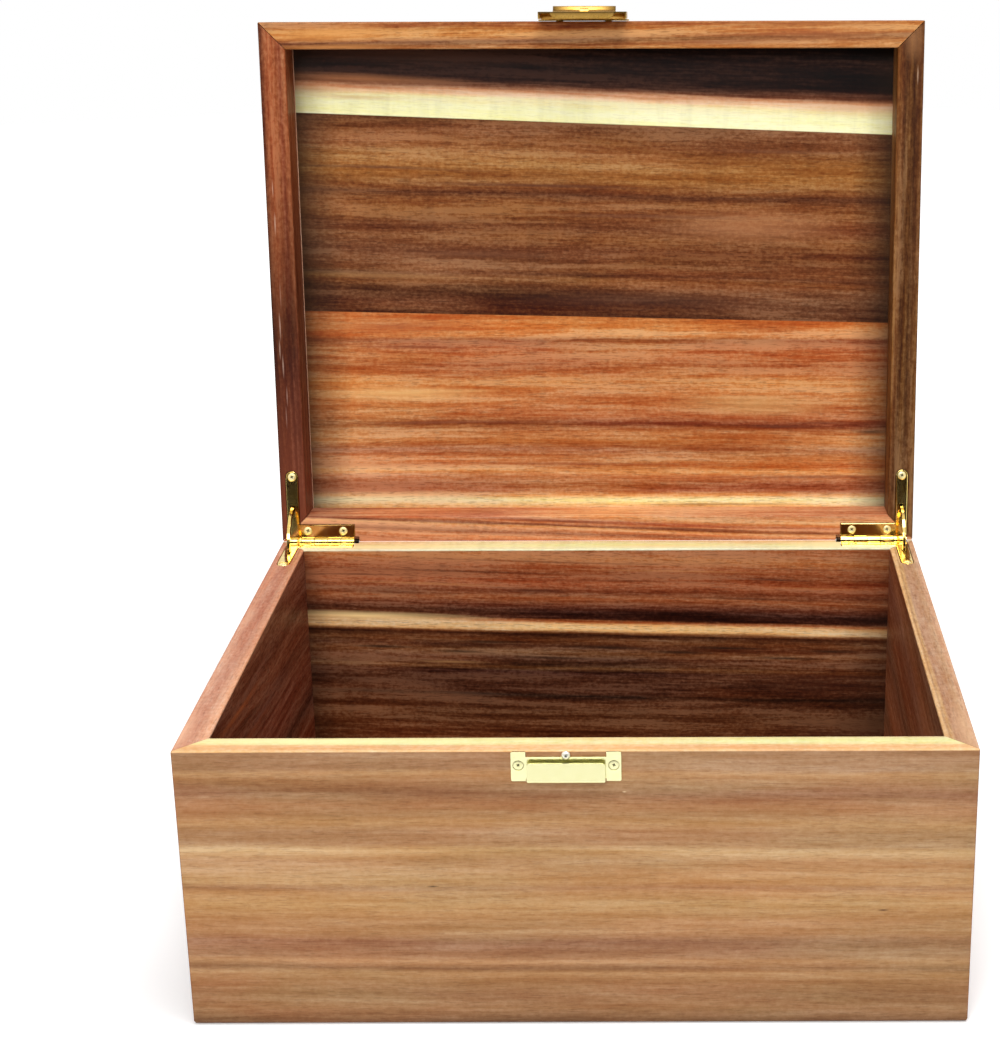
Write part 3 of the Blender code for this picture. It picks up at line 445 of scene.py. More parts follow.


# Body back: a mitred board of dark heartwood that is crossed by one pale stripe of sapwood. Above the
# stripe it is red brown, below it dark olive brown with near-black dashes, and towards the bottom its
# bands also hold painted shade from the front board. Painted shade darkens both ends of its inner face.
# Its rim's edging is cream.

back_wood = acacia(
    "lacquered_acacia_back_board",
    dict(seed=11, origin=(0, 0.12, 0), grain=(1, 0, 0), across=(0, 0, 1), slope=-0.027, wave=0.005,
         bands=[(0, "#502c1a"), (14, "#61351e"), (24, "#663a20"), (32, "#5e361e"), (39.5, "#532e1b"),
                (41.3, "#29170e"), (43, "#4b2818"), (50, "#4f2b1a"), (53.5, "#3f2016"), (55.4, "#7c5434"),
                (56.4, "#4f301d"), (60, "#583524"), (63, "#7f5536"), (66, "#5f3a27"), (69, "#865939"),
                (72, "#4d2b1a"), (73.2, "#95643f"), (74.2, "#fccf94"), (75.6, "#fddca6"), (77.6, "#fcd097"),
                (78.8, "#c0794b"), (80.2, "#4c281b"), (84, "#3e1f16"), (87, "#713c27"), (91, "#a8623b"),
                (94, "#884d31"), (99, "#aa5934"), (104, "#924b2b"), (108, "#b2623a"), (112, "#c47641"),
                (116, "#b86d42")],
         streak=0.54, line=300.0, fibre=0.42, mottle=0.8, pore=0.4, ripple=0.12,
         hues=[("#9c5b36", 0.35)],
         # Painted shade at both ends of the inner face, darkest in the corners.
         inner=0.006, shades=[(0, -127, -138, "#20140e", 0.45), (0, 112, 138, "#20140e", 0.5)],
         marks=[(-112, 79.4, 62, 2.6, "#ffdc9a", 0.95), (-60, 104, 60, 0.7, "#4c281b", 0.6),
                (10, 100.5, 52, 0.8, "#5a3020", 0.55), (-20, 110, 70, 0.6, "#5a3020", 0.55),
                (74, 92.5, 40, 0.9, "#3f2017", 0.6), (-112, 101, 30, 0.7, "#4c281b", 0.6),
                (96, 109, 50, 0.6, "#5a3020", 0.5), (40, 106.5, 60, 0.7, "#cf8f58", 0.5),
                (-80, 97, 46, 0.8, "#c98550", 0.5), (104, 99, 34, 0.7, "#c98550", 0.45),
                (-98, 92, 34, 2.0, "#4d2b20", 0.6), (-30, 95, 18, 1.6, "#4a2c20", 0.55),
                (-104, 64, 16, 1.0, "#24160f", 0.85), (-52, 67.5, 20, 1.1, "#24160f", 0.8),
                (-66, 62.5, 14, 1.0, "#1f130d", 0.85), (6, 66, 24, 1.2, "#24160f", 0.85),
                (-20, 60.5, 22, 0.9, "#2a1a11", 0.8), (38, 64.5, 18, 1.1, "#20140e", 0.85),
                (62, 67, 22, 0.9, "#24160f", 0.8), (92, 62.5, 22, 1.0, "#20140e", 0.8),
                (112, 66.5, 14, 0.9, "#24160f", 0.8), (84, 103, 20, 0.8, "#4a2c22", 0.7),
                (-70, 57.2, 18, 0.7, "#a2764a", 0.7), (104, 50, 40, 8, "#2c1712", 0.55),
                (118, 20, 42, 16, "#3a1f17", 0.5)]),
    (rim_plane,
     dict(seed=12, origin=(0, 0.12, 0.116), grain=(1, 0, 0), across=(0, -1, 0), slope=0.002, wave=0.003,
          bands=[(0, "#dbc28b"), (3, "#e5dca0"), (6, "#e5e9a6"), (9, "#e5e9ba"), (12, "#e5e9c9")],
          streak=0.2, pore=0.16, blur=0.001,
          hues=[("#dfa079", 0.6), ("#f8e4aa", 0.5)],
          marks=[(-104, 8, 60, 4, "#f7e0a2", 0.8), (30, 7, 40, 4, "#f2c98c", 0.6),
                 (118, 6, 34, 5, "#f6e8b0", 0.85)])),
)


def sharp_back_edge(points):
    """The edge above the hinge line isn't sanded: its round becomes the corner of its two faces."""
    behind, above, corner = 0.11931, 0.11531, (0.12, 0.1161)
    round_edge = (points[:, 1] > behind) & (points[:, 2] > above)
    points[round_edge, 1:] = corner
    return points


board("back_board", "back_panel", back_wood, "chest", "acacia_dark", sharp_back_edge)


# Body floor: a plain acacia board in the rebate of the four walls, flush with their undersides. The
# photograph doesn't show it, so its brown bands are a guess.

floor_wood = acacia(
    "lacquered_acacia_floor_board",
    dict(seed=14, origin=(0, 0, 0), grain=(1, 0, 0), across=(0, 1, 0), slope=0.02, wave=0.014,
         bands=[(-120, "#6d4029"), (-86, "#8a5636"), (-60, "#5f3724"), (-38, "#94603c"), (-6, "#7a482e"),
                (16, "#a3703f"), (22, "#6a3d28"), (48, "#8c5837"), (80, "#6b3f2a"), (120, "#84502f")],
         streak=0.4, line=260.0, hues=[("#9a6238", 0.4)]),
)
board("floor_board", "floor_panel", floor_wood, "chest", "acacia_dark")


# Lid frame: four mitred rails, 12 mm wide and 31 mm deep, tilted back by five degrees past upright.
# The front rail is golden, the back rail pink with wavy dark grain, the sides red and dark brown.

lid_up = Vector((0, math.sin(math.radians(5)), math.cos(math.radians(5))))
hinge_line = Vector((0, 0.12, 0.1162))
along_lid = dict(origin=hinge_line, grain=(1, 0, 0), across=lid_up)
up_lid = dict(origin=hinge_line, grain=lid_up, across=(1, 0, 0))

lid_front_wood = acacia(
    "lacquered_acacia_lid_front_rail",
    dict(seed=21, **along_lid, slope=0.012, wave=0.0022,
         bands=[(226, "#a06334"), (228.4, "#a96b39"), (229.8, "#965a30"), (231.1, "#66371d"),
                (232.3, "#63341b"), (233.2, "#95572b"), (234.5, "#b6783e"), (236.3, "#b57439"),
                (237.5, "#a8692f"), (238.6, "#9f6130"), (240, "#96592e"), (241.5, "#986032")],
         streak=0.8, line=380.0, fibre=0.5, mottle=0.6, pore=0.4,
         hues=[("#a5633e", 0.45), ("#d29a5c", 0.4)],
         marks=[(104, 233, 60, 9, "#a4643e", 0.4), (-118, 236.5, 34, 4.4, "#cc8c4a", 0.65),
                (54, 230.2, 46, 1.5, "#82482a", 0.65), (-112, 230.5, 34, 1.5, "#b3763f", 0.75),
                (98, 237.4, 40, 1.4, "#93562c", 0.6)]),
)
board("lid_front_board", "lid_front_rail", lid_front_wood, "lid", "acacia_mid")

lid_back_wood = acacia(
    "lacquered_acacia_lid_back_rail",
    dict(seed=24, **along_lid, slope=-0.035, wave=0.007,
         bands=[(-6, "#c1764b"), (-2, "#ae6340"), (0.5, "#d38658"), (2.5, "#915236"), (4.2, "#d58a5d"),
                (5.4, "#dc9761"), (6.4, "#824730"), (7.6, "#cf8357"), (9.0, "#b96c4b"), (10.2, "#d88f5d"),
                (11.6, "#e3a068"), (15, "#c98054"), (18, "#b9704a")],
         streak=0.6, line=520.0, pore=0.3, hues=[("#d08e5c", 0.5)],
         marks=[(-20, 8.4, 42, 0.8, "#6b3c2b", 0.7), (44, 7.2, 36, 0.7, "#70402d", 0.7)]),
)


def sharp_lid_edge(points):
    """The same for the edge of the lid that stands on it: 0.08 mm below the hinge line, 0.1 mm deep."""
    from_line = points - np.array(hinge_line)
    into = np.array((0, lid_up.z, -lid_up.y))
    height, depth = from_line @ np.array(lid_up), from_line @ into
    round_edge = (height < 0.00069) & (depth < 0.00089)
    corner = np.array(hinge_line) + 0.0001 * into
    points[round_edge, 1:] = corner[1:] - 0.00008 * np.array(lid_up)[1:]
    return points


board("lid_back_board", "lid_back_rail", lid_back_wood, "lid", "acacia_mid", sharp_lid_edge)

lid_left_wood = acacia(
    "lacquered_acacia_lid_left_rail",
    dict(seed=27, **up_lid, slope=0.004, wave=0.004,
         bands=[(-150, "#301407"), (-148.6, "#461f0c"), (-146, "#51250f"), (-143.4, "#431c0c"),
                (-141, "#38180a"), (-139, "#48210f"), (-138, "#522612")],
         streak=0.5, line=420.0, pore=0.45, hues=[("#8a4f38", 0.4)],
         marks=[(103, -146.6, 7, 0.4, "#d9b9a4", 0.55), (92, -147.3, 5, 0.4, "#cdaa94", 0.55),
                (84, -146.2, 6, 0.4, "#d9b9a4", 0.5), (70, -145.2, 5, 0.35, "#c7a28e", 0.5),
                (118, -145.6, 8, 0.4, "#c9a48f", 0.4), (60, -146.0, 6, 0.35, "#c39d88", 0.4)],
         shades=[(0, 100, 20, "#8a4630", 0.5)]),
    ((hinge_line + lid_up * 0.135, lid_up, 0.10),
     dict(seed=28, **up_lid, slope=0.004, wave=0.003,
          bands=[(-150, "#5c2d17"), (-148.4, "#864424"), (-146.4, "#944b28"), (-144, "#884523"),
                 (-142, "#7a3a20"), (-140.2, "#92522f"), (-138, "#7d4327")],
          streak=0.3, line=420.0, pore=0.25, hues=[("#b26a44", 0.4)],
          marks=[(150, -147.0, 5, 0.4, "#d8b59c", 0.7), (166, -147.4, 4, 0.35, "#cfa98f", 0.6)])),
)
board("lid_left_board", "lid_left_rail", lid_left_wood, "lid", "acacia_dark")

lid_right_wood = acacia(
    "lacquered_acacia_lid_right_rail",
    dict(seed=31, **up_lid, slope=0.004, wave=0.004,
         bands=[(138, "#7a4d24"), (139.2, "#6d411f"), (141, "#553217"), (143, "#643e1b"), (145, "#513015"),
                (147, "#623b1b"), (149, "#714822"), (150, "#553418")],
         streak=0.45, line=480.0, pore=0.4, hues=[("#7d5536", 0.5)],
         marks=[(232, 144, 12, 5, "#9a6a44", 0.6), (216, 146, 5, 0.4, "#cfae90", 0.6)]),
)
board("lid_right_board", "lid_right_rail", lid_right_wood, "lid", "acacia_dark")


# Lid panel: three acacia boards glued edge to edge with slanting joints and set in a rebate of the
# frame. From the top: near-black heartwood with a wide cream band, brown with dark streaks, and red
# gold with fine lines and a cream lower edge. Painted shade darkens its inner face along the left and
# right rails, and a thin pale line is painted along its left edge, where it meets the rail.

def lid_joint(height, slope):
    """Plane of a glue joint that crosses the middle of the panel at this height (mm) with this slope."""
    return hinge_line + lid_up * (height / 1000), lid_up - Vector((slope, 0, 0)), 0.0003


# The painted shade along the rails colours only the inner face, where the distance through is above
# panel_middle.
panel_middle = -0.022
panel_wood = acacia(
    "lacquered_acacia_lid_panel",
    dict(seed=41, **along_lid, slope=-0.004, wave=0.004,
         bands=[(6, "#c88e60"), (10, "#e0a36a"), (12, "#f1bf81"), (13.6, "#f3da9c"), (15.6, "#f3edae"),
                (17.6, "#e9b275"), (19.6, "#ac633e"), (23, "#9e5735"), (27, "#d2895b"), (29.4, "#ebaa6d"),
                (32, "#cf814e"), (36, "#d58b57"), (40, "#b06d49"), (44, "#dd9c62"), (48, "#d79259"),
                (52.5, "#8c482d"), (56, "#bd7042"), (62, "#c87e4a"), (68, "#d48b51"), (73, "#d18849"),
                (77, "#bf723f"), (81.5, "#aa5e33"), (86, "#bb6b3b"), (90, "#b06137"), (93.3, "#904c2c"),
                (95.2, "#d0844b"), (100, "#d58a4d"), (106, "#c37742"), (112, "#c37742")],
         streak=0.62, line=360.0, fibre=0.5, mottle=0.8, pore=0.36, ripple=0.10,
         inner=panel_middle, shades=[(0, -117, -137, "#2a1c12", 0.75), (0, 120, 137, "#2a1c12", 0.7)],
         hues=[("#a35a38", 0.4), ("#d39a5c", 0.35)],
         marks=[(-93, 67.5, 46, 4.2, "#e2b070", 0.75), (73, 62, 44, 6, "#cf9c60", 0.6),
                (-96, 100, 52, 4.6, "#9c5534", 0.65), (-88, 90, 30, 1.0, "#7a4029", 0.7),
                (-66, 53, 60, 0.9, "#7d4630", 0.6), (88, 52, 22, 1.0, "#6b3c28", 0.6),
                (131, 49.8, 10, 1.3, "#3c2117", 0.85), (108, 54, 20, 0.8, "#6e3e2a", 0.6),
                (60, 13.0, 44, 0.8, "#5f3826", 0.6), (-20, 33, 90, 1.0, "#8c4d33", 0.5),
                (104, 27, 50, 1.0, "#6e3a28", 0.6)]),
    (lid_joint(104.2, -0.0233),
     dict(seed=43, **along_lid, slope=-0.026, wave=0.005,
          bands=[(96, "#2e1104"), (103, "#3a1805"), (106, "#512308"), (110, "#451b06"), (114, "#44220d"),
                 (117.2, "#512a10"), (119.0, "#6c3c19"), (121.6, "#7b4b20"), (123.6, "#4b260e"),
                 (125.4, "#6d3d19"), (129, "#693816"), (135, "#612f13"), (141, "#79441e"), (146, "#673516"),
                 (152, "#7d471e"), (158, "#7b451e"), (161.4, "#582d14"), (163.4, "#79441e"),
                 (170, "#9e6934"), (178, "#9c6936"), (184, "#79431a"), (189, "#6d3a15"), (194, "#5c2f10"),
                 (198, "#4d260e")],
          streak=0.42, line=300.0, fibre=0.3, mottle=0.8, pore=0.4, ripple=0.14,
          inner=panel_middle, shades=[(0, -117, -137, "#1f160d", 0.78), (0, 120, 137, "#1f160d", 0.75)],
          hues=[("#a0613b", 0.4), ("#86593a", 0.35)],
          marks=[(-98, 171.5, 60, 1.0, "#56311f", 0.75), (-30, 165.5, 60, 1.1, "#55301f", 0.75),
                 (72, 148, 46, 9, "#a66c44", 0.55), (20, 152, 70, 1.2, "#633a27", 0.6),
                 (88, 184, 40, 1.2, "#6c4229", 0.6), (-96, 122, 46, 2.4, "#9c7048", 0.5),
                 (-60, 133, 50, 2.2, "#734931", 0.5), (20, 112, 70, 6, "#4a2c1f", 0.6)])),
    (lid_joint(194.0, -0.0393),
     dict(seed=45, **along_lid, slope=-0.0367, wave=0.0035, blur=0.0036,
          bands=[(180, "#f7f0b9"), (192, "#f7f4bb"), (200, "#f7f3bd"), (203.4, "#f7e9af"),
                 (205.6, "#f3c89b"), (207.4, "#ce8e64"), (209.2, "#6f3f27"), (211.4, "#381c10"),
                 (214, "#210d06"), (219, "#1b0904"), (224, "#281209"), (229, "#180904"),
                 (236, "#1e0c04")],
          streak=0.42, line=300.0, fibre=0.4, mottle=0.5, pore=0.1,
          inner=panel_middle, shades=[(0, -122, -137, "#2a1c12", 0.5), (0, 124, 137, "#2a1c12", 0.4)],
          marks=[(-128, 205, 18, 3, "#b98a5c", 0.6), (-112, 202, 26, 1.4, "#c99c6c", 0.5),
                 (-106, 210.6, 56, 2.6, "#a56a42", 0.7), (120, 205, 36, 4, "#cfa077", 0.55),
                 (-92, 222, 70, 6, "#553526", 0.5)])),
    ((hinge_line + Vector((-0.1376, 0.0189, -0.0017)), Vector((-0.7, -0.717, 0.063)), 0.0002),
     dict(seed=47, **up_lid, wave=0.0005,
          bands=[(-139, "#d3a184"), (-137.4, "#c08a6c")], streak=0.3)),
)
board("lid_board", "lid_top_panel", panel_wood, "lid", "acacia_mid")


# Hinges: a pair of quadrant hinges let into the back corners, of brass that is stamped, polished and
# lacquered. A stay curves through a slot in both leaves. Each leaf has three cross-head screws.

def polished_brass(name, colour, shade, roughness=0.10, wavy=0.00002):
    """Polished brass: a yellow mirror with faint smudges of 3 mm, 4 mm waves from stamping and 0.7 mm
    wear. A point attribute tells how much of it is painted dark brown and not metal: all of the crosses
    of the screws and much of the latch's tab and hook as painted shade and dark reflection, and a little
    of the keeper's lip as painted shade."""
    material, tree, out = start_material(name)
    spot = add_node(tree, "ShaderNodeTexCoord").outputs["Object"]
    smudge = add_node(tree, "ShaderNodeTexNoise", (("Vector", spot), ("Scale", 300.0), ("Detail", 2.0)))
    wear = add_node(tree, "ShaderNodeTexNoise", (("Vector", spot), ("Scale", 1400.0), ("Detail", 2.0)))
    waves = add_node(tree, "ShaderNodeTexNoise", (("Vector", spot), ("Scale", 240.0), ("Detail", 1.0)))
    tone = add_node(tree, "ShaderNodeMapRange", (
        ("Value", smudge.outputs["Fac"]), ("From Min", 0.35), ("From Max", 0.68)))
    tint = add_node(tree, "ShaderNodeMix", (
        (0, tone.outputs[0]), (6, linear(colour)), (7, linear(shade))), data_type="RGBA")
    # Painted shade: where the attribute is set, the brass is painted dark brown and is not metal.
    painted_dark = add_node(tree, "ShaderNodeAttribute", attribute_name="painted_shade")
    tint = add_node(tree, "ShaderNodeMix", (
        (0, painted_dark.outputs["Fac"]), (6, tint.outputs[2]), (7, linear("#2c1c0e"))), data_type="RGBA")
    unshaded = add_node(tree, "ShaderNodeMath", ((0, 1.0), (1, painted_dark.outputs["Fac"])), operation="SUBTRACT")
    gloss = add_node(tree, "ShaderNodeMapRange", (
        ("Value", wear.outputs["Fac"]), ("From Min", 0.3), ("From Max", 0.7),
        ("To Min", roughness * 0.94), ("To Max", roughness * 1.08)))
    bump = add_node(tree, "ShaderNodeBump", (
        ("Height", waves.outputs["Fac"]), ("Strength", 1.0), ("Distance", wavy)))
    shader = add_node(tree, "ShaderNodeBsdfPrincipled", (
        ("Base Color", tint.outputs[2]), ("Metallic", unshaded.outputs[0]), ("Roughness", gloss.outputs[0]),
        ("Normal", bump.outputs[0]), ("Specular IOR Level", 0.0)))
    tree.links.new(shader.outputs[0], out.inputs["Surface"])
    return material


def fitting(name, node_name, material, body, edge, above=35, reshape=None,
            cuts=(), corner=None, rim=None):
    """A metal piece that stands for one CAD node, with its edges rounded by tumbling. corner gives the
    radius of the corners of its plates, edges straight through the sheet along y, from their places.
    rim gives the share of the round that the piece's sharp edges get, also from their places."""
    piece = merged_copy(name, node_name, reshape, cuts)
    if corner:
        widest, thin, thick, straight = 0.0015, 0.0006, 0.0009, 0.00002
        mesh = piece.data
        ends = np.empty(len(mesh.edges) * 2, np.int32)
        mesh.edges.foreach_get("vertices", ends)
        spots = np.empty(len(mesh.vertices) * 3, np.float32)
        mesh.vertices.foreach_get("co", spots)
        pairs = spots.reshape(-1, 3)[ends.reshape(-1, 2)]
        along = np.abs(pairs[:, 1] - pairs[:, 0])
        through = (along[:, 1] > thin) & (along[:, 1] < thick) & (along[:, ::2].max(axis=1) < straight)
        radius = np.where(through, corner(pairs.mean(axis=1)), 0.0)
        weight = mesh.attributes.new("bevel_weight_edge", "FLOAT", "EDGE")
        weight.data.foreach_set("value", (radius / widest).astype(np.float32))
        round_corner = piece.modifiers.new("round corners", "BEVEL")
        round_corner.limit_method, round_corner.width, round_corner.segments = "WEIGHT", widest, 5
        round_corner.use_clamp_overlap = False
    if rim:
        shape = bmesh.new()
        shape.from_mesh(piece.data)
        share = shape.edges.layers.float.new("bevel_weight_edge")
        for line in shape.edges:
            if line.calc_face_angle(0) > math.radians(above):
                line[share] = rim((line.verts[0].co + line.verts[1].co) / 2)
        shape.to_mesh(piece.data)
        shape.free()
    ease_edges(piece, edge, above, chosen=bool(rim))
    piece.data.materials.append(material)
    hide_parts(node_name)
    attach(piece, body)
    return piece


def turned_mesh(name, points, sharp, inside_out=False):
    """A closed mesh on rings of points: quads from each ring to the next, and a cap at either end."""
    number = np.arange(points.shape[0] * points.shape[1]).reshape(points.shape[:2])
    beside = np.roll(number, -1, 1)
    quads = np.stack([number[:-1], number[1:], beside[1:], beside[:-1]], -1)
    faces = quads.reshape(-1, 4).tolist() + [number[0].tolist(), number[-1][::-1].tolist()]
    if inside_out:
        faces = [face[::-1] for face in faces]
    mesh = bpy.data.meshes.new(name)
    mesh.from_pydata(points.reshape(-1, 3).tolist(), [], faces)
    mesh.shade_smooth()
    mesh.set_sharp_from_angle(angle=math.radians(sharp))
    return mesh


def screw(name, node_name, out, dome, material, body, cross_size=1.0):
    """A screw on a polar grid along the direction out. Its head is a dome that falls with the fourth
    power of the radius, less a cross whose arms get shallower outwards; below it are the countersink,
    the shank and the point. Its centre, its top, its length and its head's radius are the CAD node's."""
    out = np.array(Vector(out).normalized())
    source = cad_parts[node_name].data
    spots = np.empty(len(source.vertices) * 3, np.float32)
    source.vertices.foreach_get("co", spots)
    spots = spots.reshape(-1, 3).astype(float)
    height = spots @ out
    top, length = height.max(), np.ptp(height)
    flat = spots - height[:, None] * out
    centre = (flat.min(axis=0) + flat.max(axis=0)) / 2
    centre = centre - (centre @ out) * out
    head = np.linalg.norm(flat - centre, axis=1).max()
    side = np.cross(out, (1.0, 0, 0))
    turned_by = sum(map(ord, node_name)) * 0.7
    first = math.cos(turned_by) * np.array((1.0, 0, 0)) + math.sin(turned_by) * side
    second = np.cross(out, first)
    head_rings, sides = 22, 56
    turn = np.linspace(0, 2 * np.pi, sides, endpoint=False)
    radius = np.concatenate([np.linspace(0.04, 0.97, head_rings), [1.0, 0.99, 0.5, 0.48, 0.48, 0.03]]) * head
    below = [0.10, 0.25, 1.1, 1.4, 1000 * length - 1.5, 1000 * length]
    fall = np.concatenate([np.zeros(head_rings), below]) / 1000
    across, around = np.meshgrid(radius, turn, indexing="ij")
    u, v = across * np.cos(around), across * np.sin(around)
    arm_half, arm_wall, arm_length, arm_slope, cross_depth = 0.34, 0.18, 1.12, 0.3, 0.0006
    arms = []
    for a, b in ((np.abs(u), np.abs(v)), (np.abs(v), np.abs(u))):
        arms.append(np.clip((arm_half - 1000 * b / cross_size) / arm_wall, 0, 1)
                    * np.clip((arm_length - 1000 * a / cross_size) / arm_slope, 0, 1))
    cross = np.maximum(*arms)
    on_top = np.arange(len(radius))[:, None] < head_rings
    sunk = np.where(on_top, -dome * (across / head) ** 4 - cross_depth * cross, -dome)
    level = top - fall[:, None] + sunk
    points = centre + u[..., None] * first + v[..., None] * second + level[..., None] * out
    mesh = turned_mesh(name, points, 50)
    # The cross is painted dark brown, a painted shade in its recess.
    painted_shade = mesh.attributes.new("painted_shade", "FLOAT", "POINT")
    painted_shade.data.foreach_set("value", np.where(on_top, cross, 0).astype(np.float32).ravel())
    piece = new_object(name, mesh)
    mesh.materials.append(material)
    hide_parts(node_name)
    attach(piece, body)


def leaf_rim(place):
    """Which edges of a hinge leaf were ground to a 0.4 mm bevel: its outline. The middle 4 mm of the long
    leg, where the slot and a screw hole are, the other screw holes and the barrel keep 0.04 mm."""
    x, along, through = abs(place.x), abs(place.y - hinge_line.y), abs(place.z - hinge_line.z)
    reach = max(along, through)
    barrel, leg, slot_end, screw_row, keep_off, narrow = 0.0028, 0.1443, 0.0311, 0.005, 0.0024, 0.1
    if reach < barrel:
        return narrow
    inside_leg = math.hypot(x - leg, max(reach - slot_end, 0)) < keep_off
    near_screw = any(math.hypot(x - at, reach - screw_row) < keep_off for at in (0.121, 0.1378))
    return narrow if inside_leg or near_screw else 1.0


def riveted_pin(side, material):
    """A hinge pin on a cylindrical grid: a radius for each place along x. It is 0.87 mm through the
    knuckles, and its inner end is riveted over to a 1.3 mm head in the notch beyond the barrel."""
    outward = -1 if side == "left" else 1
    place = outward * np.array([0.14695, 0.14695, 0.1155, 0.11546, 0.11536, 0.1138, 0.1136, 0.1136])
    radius = np.array([0.05, 0.87, 0.87, 1.2, 1.3, 1.3, 1.1, 0.05]) / 1000
    sides = 40
    turn = np.linspace(0, 2 * np.pi, sides, endpoint=False)
    points = np.empty((len(place), sides, 3))
    points[..., 0] = place[:, None]
    points[..., 1] = hinge_line.y + radius[:, None] * np.cos(turn)
    points[..., 2] = hinge_line.z + radius[:, None] * np.sin(turn)
    mesh = turned_mesh(f"{side}_pivot_pin", points, 40, inside_out=side == "left")
    piece = new_object(f"{side}_pivot_pin", mesh)
    mesh.materials.append(material)
    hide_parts(f"{side}_hinge_pin")
    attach(piece, "chest")


# The hinges mirror the table sharply, the paler screws only as a blur, and the pins are painted near
# black, a painted shade for the notch beyond the barrel.
hinge_brass = polished_brass("polished_brass_hinges", "#f6dc8c", "#ebc76c", 0.11, 0.000005)
screw_brass = polished_brass("polished_brass_screws", "#fbf3c4", "#f6e6a8", 0.46, 0.000003)
pin_painted_dark = polished_brass("steel_pins_painted_dark", "#2a2019", "#17110d", 0.35)
for side in ("left", "right"):
    for part, body, out in (("body", "chest", (0, 0, 1)), ("lid", "lid", (0, -lid_up.z, lid_up.y))):
        fitting(f"{side}_{part}_plate", f"{side}_hinge_{part}_leaf", hinge_brass, body, 0.0004, rim=leaf_rim)
        for number in (1, 2, 3):
            screw(f"{side}_{part}_plate_screw_{number}", f"{side}_hinge_{part}_leaf_screw_{number}",
                  out, 0.00022, screw_brass, body, cross_size=0.8)
    riveted_pin(side, pin_painted_dark)
    fitting(f"{side}_curved_stay", f"{side}_hinge_stay", hinge_brass, f"{side}_stay", 0.0003)


# Keeper: a stamped brass plate on the body front with a lip folded outwards and up, which the latch
# hooks over. Two countersunk screws hold its wings, and a nickelled round-head one its middle.

latch_middle = -0.0035


def keeper_fold(points):
    """The sheet was cut with 1.5 mm rounds at the fold: below z 104.9 mm its sides follow a circle."""
    half, round_cut = 0.0146, 0.0015
    drop = np.clip(0.1049 - points[:, 2], 0, round_cut)
    side_edge = np.abs(np.abs(points[:, 0] - latch_middle) - half) < 0.0002
    inset = np.where(side_edge, round_cut - np.sqrt(round_cut ** 2 - drop ** 2), 0)
    points[:, 0] -= np.sign(points[:, 0] - latch_middle) * inset
    return points


def keeper_corner(places):
    """Corner radii: 1.2 mm on top of the lip, 0.6 mm at the four outer corners of the wings."""
    outer = np.abs(places[:, 0] - latch_middle) > 0.0203
    return np.where(places[:, 1] < -0.122, 0.0012, np.where(outer, 0.0006, 0.0))


# The keeper and its two screws are pale brass with a soft shine, and the nickelled screw is whiter.
keeper_brass = polished_brass("polished_brass_keeper", "#f5f2be", "#f2efb8", 0.24, 0.000002)
keeper_screw_brass = polished_brass("polished_brass_keeper_screws", "#f4f1bd", "#f1edb6", 0.3, 0.000002)
nickel = polished_brass("nickel_plated_screws", "#f8f6ea", "#efecdc", 0.3, 0.000002)
keeper_piece = fitting("keeper_plate", "keeper", keeper_brass, "chest", 0.0001, reshape=keeper_fold,
                       corner=keeper_corner)
keeper_spots = np.empty(len(keeper_piece.data.vertices) * 3, np.float32)
keeper_piece.data.vertices.foreach_get("co", keeper_spots)
# The lip in front of this place is painted a little dark, a painted shade that brings it down to the
# brightness of the wings.
lip_front, lip_shade_strength = -0.1212, 0.11
lip_shade = (lip_shade_strength * (keeper_spots[1::3] < lip_front)).astype(np.float32)
keeper_piece.data.attributes.new("painted_shade", "FLOAT", "POINT").data.foreach_set("value", lip_shade)
for side in ("left", "right"):
    screw(f"keeper_plate_{side}_screw", f"keeper_{side}_screw", (0, -1, 0), 0.0001, keeper_screw_brass,
          "chest", cross_size=0.6)
screw("keeper_plate_round_screw", "keeper_round_screw", (0, -1, 0), 0.0009, nickel, "chest",
      cross_size=0.55)


# Latch: a folded brass lever between two ears of a base plate on the lid front. Its thumb tab is bent
# outwards and stiffened by a pressed rib, and its free end is bent inwards as a hook.

lever_pivot = np.array((latch_middle, 0.1477836, 0.3568945))
lever_into = np.array((0, lid_up.z, -lid_up.y))


def lever_tab(points):
    """The thumb tab is bent twice: it rises by a slope of 0.24 from the pivot and by 1.4 at its end."""
    start, length, rise, bend, low, steep = 0.001, 0.0048, 0.0027, 0.72, 0.42, 2.491
    share = np.clip(((points - lever_pivot) @ lever_into - start) / length, 0, 1.1)
    bent = np.where(share < bend, low * share, low * bend + steep * (share - bend))
    return points + (rise * (bent - share))[:, None] * np.array(lid_up)
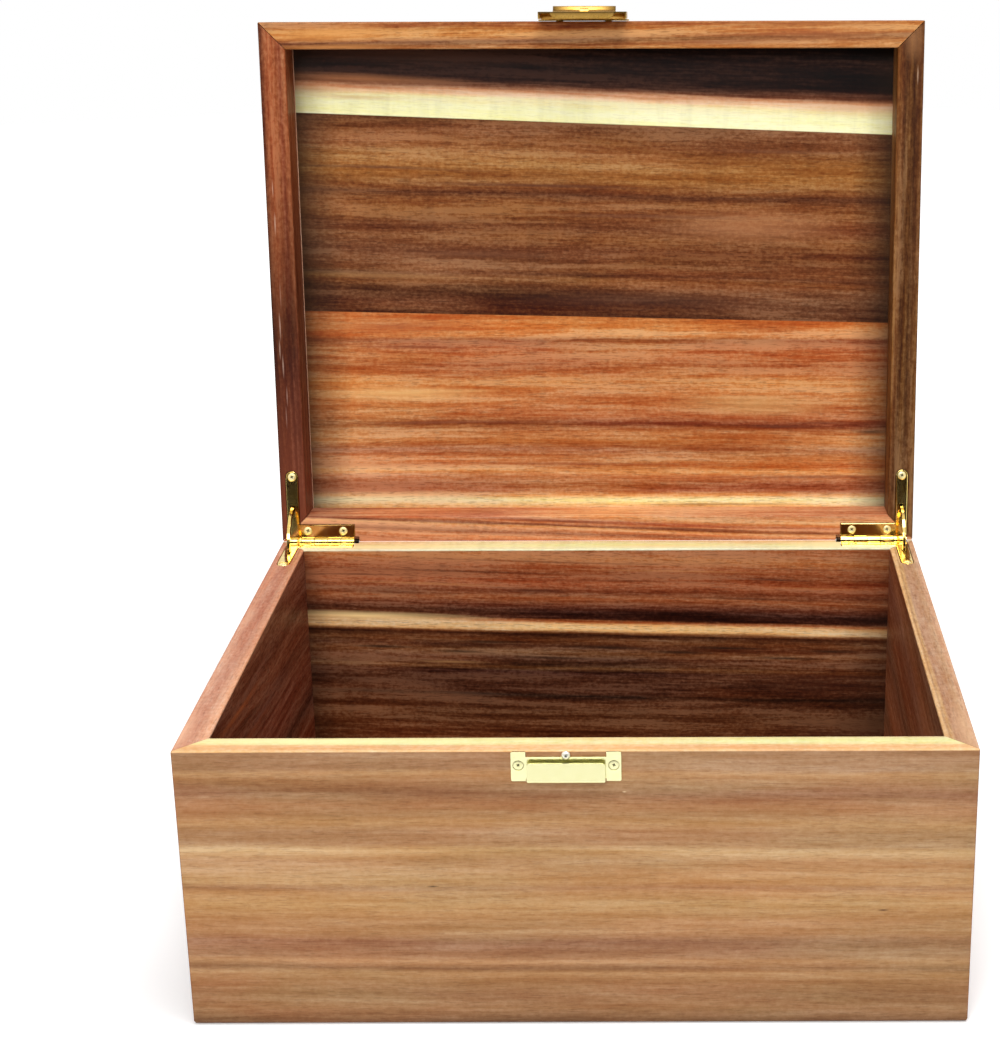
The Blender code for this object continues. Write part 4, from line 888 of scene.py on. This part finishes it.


# The latch is deeper yellow than the hinges, and painted shade and dark reflection turn parts of its
# hook and tab nearly black. The cuts give corners to the bend of the tab and to the edges of this
# painted dark.
latch_brass = polished_brass("polished_brass_latch", "#cba252", "#c09646", 0.28, 0.000002)
fitting("latch_plate", "latch_base", latch_brass, "lid", 0.00012)
fitting("latch_pivot", "latch_pin", latch_brass, "lid", 0.00008)
for side in ("left", "right"):
    screw(f"latch_plate_{side}_screw", f"latch_{side}_screw", lid_up, 0.0002, screw_brass, "lid")
lever = fitting("latch_lever", "latch_flap", latch_brass, "flap", 0.00015, reshape=lever_tab, cuts=[
    (Vector(lever_pivot + at * lever_into), Vector(lever_into))
    for at in (-0.0193, -0.019, 0.00425, 0.004456, 0.0047)])
lever_spots = np.empty(len(lever.data.vertices) * 3, np.float32)
lever.data.vertices.foreach_get("co", lever_spots)
lever_spots = lever_spots.reshape(-1, 3) - lever_pivot
lever_depth, lever_height = lever_spots @ lever_into, lever_spots @ np.array(lid_up)
# Painted shade and dark reflection: the tab's ends and the hook are painted nearly black.
lever_shade = 0.9 * (lever_depth > 0.0044) * (np.abs(lever_spots[:, 0]) > 0.0021)
lever_shade = lever_shade + (lever_depth < -0.0192) * np.clip(0.58 + 180 * lever_height, 0.36, 0.92)
lever.data.attributes.new("painted_shade", "FLOAT", "POINT").data.foreach_set("value", lever_shade.astype(np.float32))

# Two strips of the same sheet stiffen the lever: a curl round the pin between the two ears, a 1 mm tube
# with a web up to the sheet, and a fold across the lever in front of the base plate.
inside_brass = polished_brass("dull_brass_latch_inside", "#e6ba62", "#cf9f4c", 0.5, 0.000002)
curl_turn = np.radians(np.linspace(80, 440, 37))
curl = 0.98 * np.stack([np.cos(curl_turn), np.sin(curl_turn)], 1)
curl = np.concatenate([[(0.28, 1.3)], curl])
fold = np.array([(-6.6, 1.3), (-6.6, -0.5), (-6.5, -0.85), (-6.2, -1.05), (-5.6, -1.1)])
for name, profile, half in (("latch_lever_curl", curl, 17.9), ("latch_lever_fold", fold, 18.9)):
    rows = lever_pivot + (profile[:, :1] * lever_into + profile[:, 1:] * np.array(lid_up)) / 1000
    strip = np.repeat(rows[:, None], 2, axis=1)
    strip[..., 0] += np.array([-half, half]) / 1000
    corner = np.arange(strip.size // 3).reshape(-1, 2)
    strip_mesh = bpy.data.meshes.new(name)
    strip_mesh.from_pydata(strip.reshape(-1, 3).tolist(), [], np.stack([
        corner[:-1, 0], corner[:-1, 1], corner[1:, 1], corner[1:, 0]], -1).tolist())
    strip_mesh.shade_smooth()
    strip_piece = new_object(name, strip_mesh)
    sheet = strip_piece.modifiers.new("sheet", "SOLIDIFY")
    sheet.thickness, sheet.offset = 0.0003, -1
    strip_mesh.materials.append(inside_brass)
    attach(strip_piece, "flap")
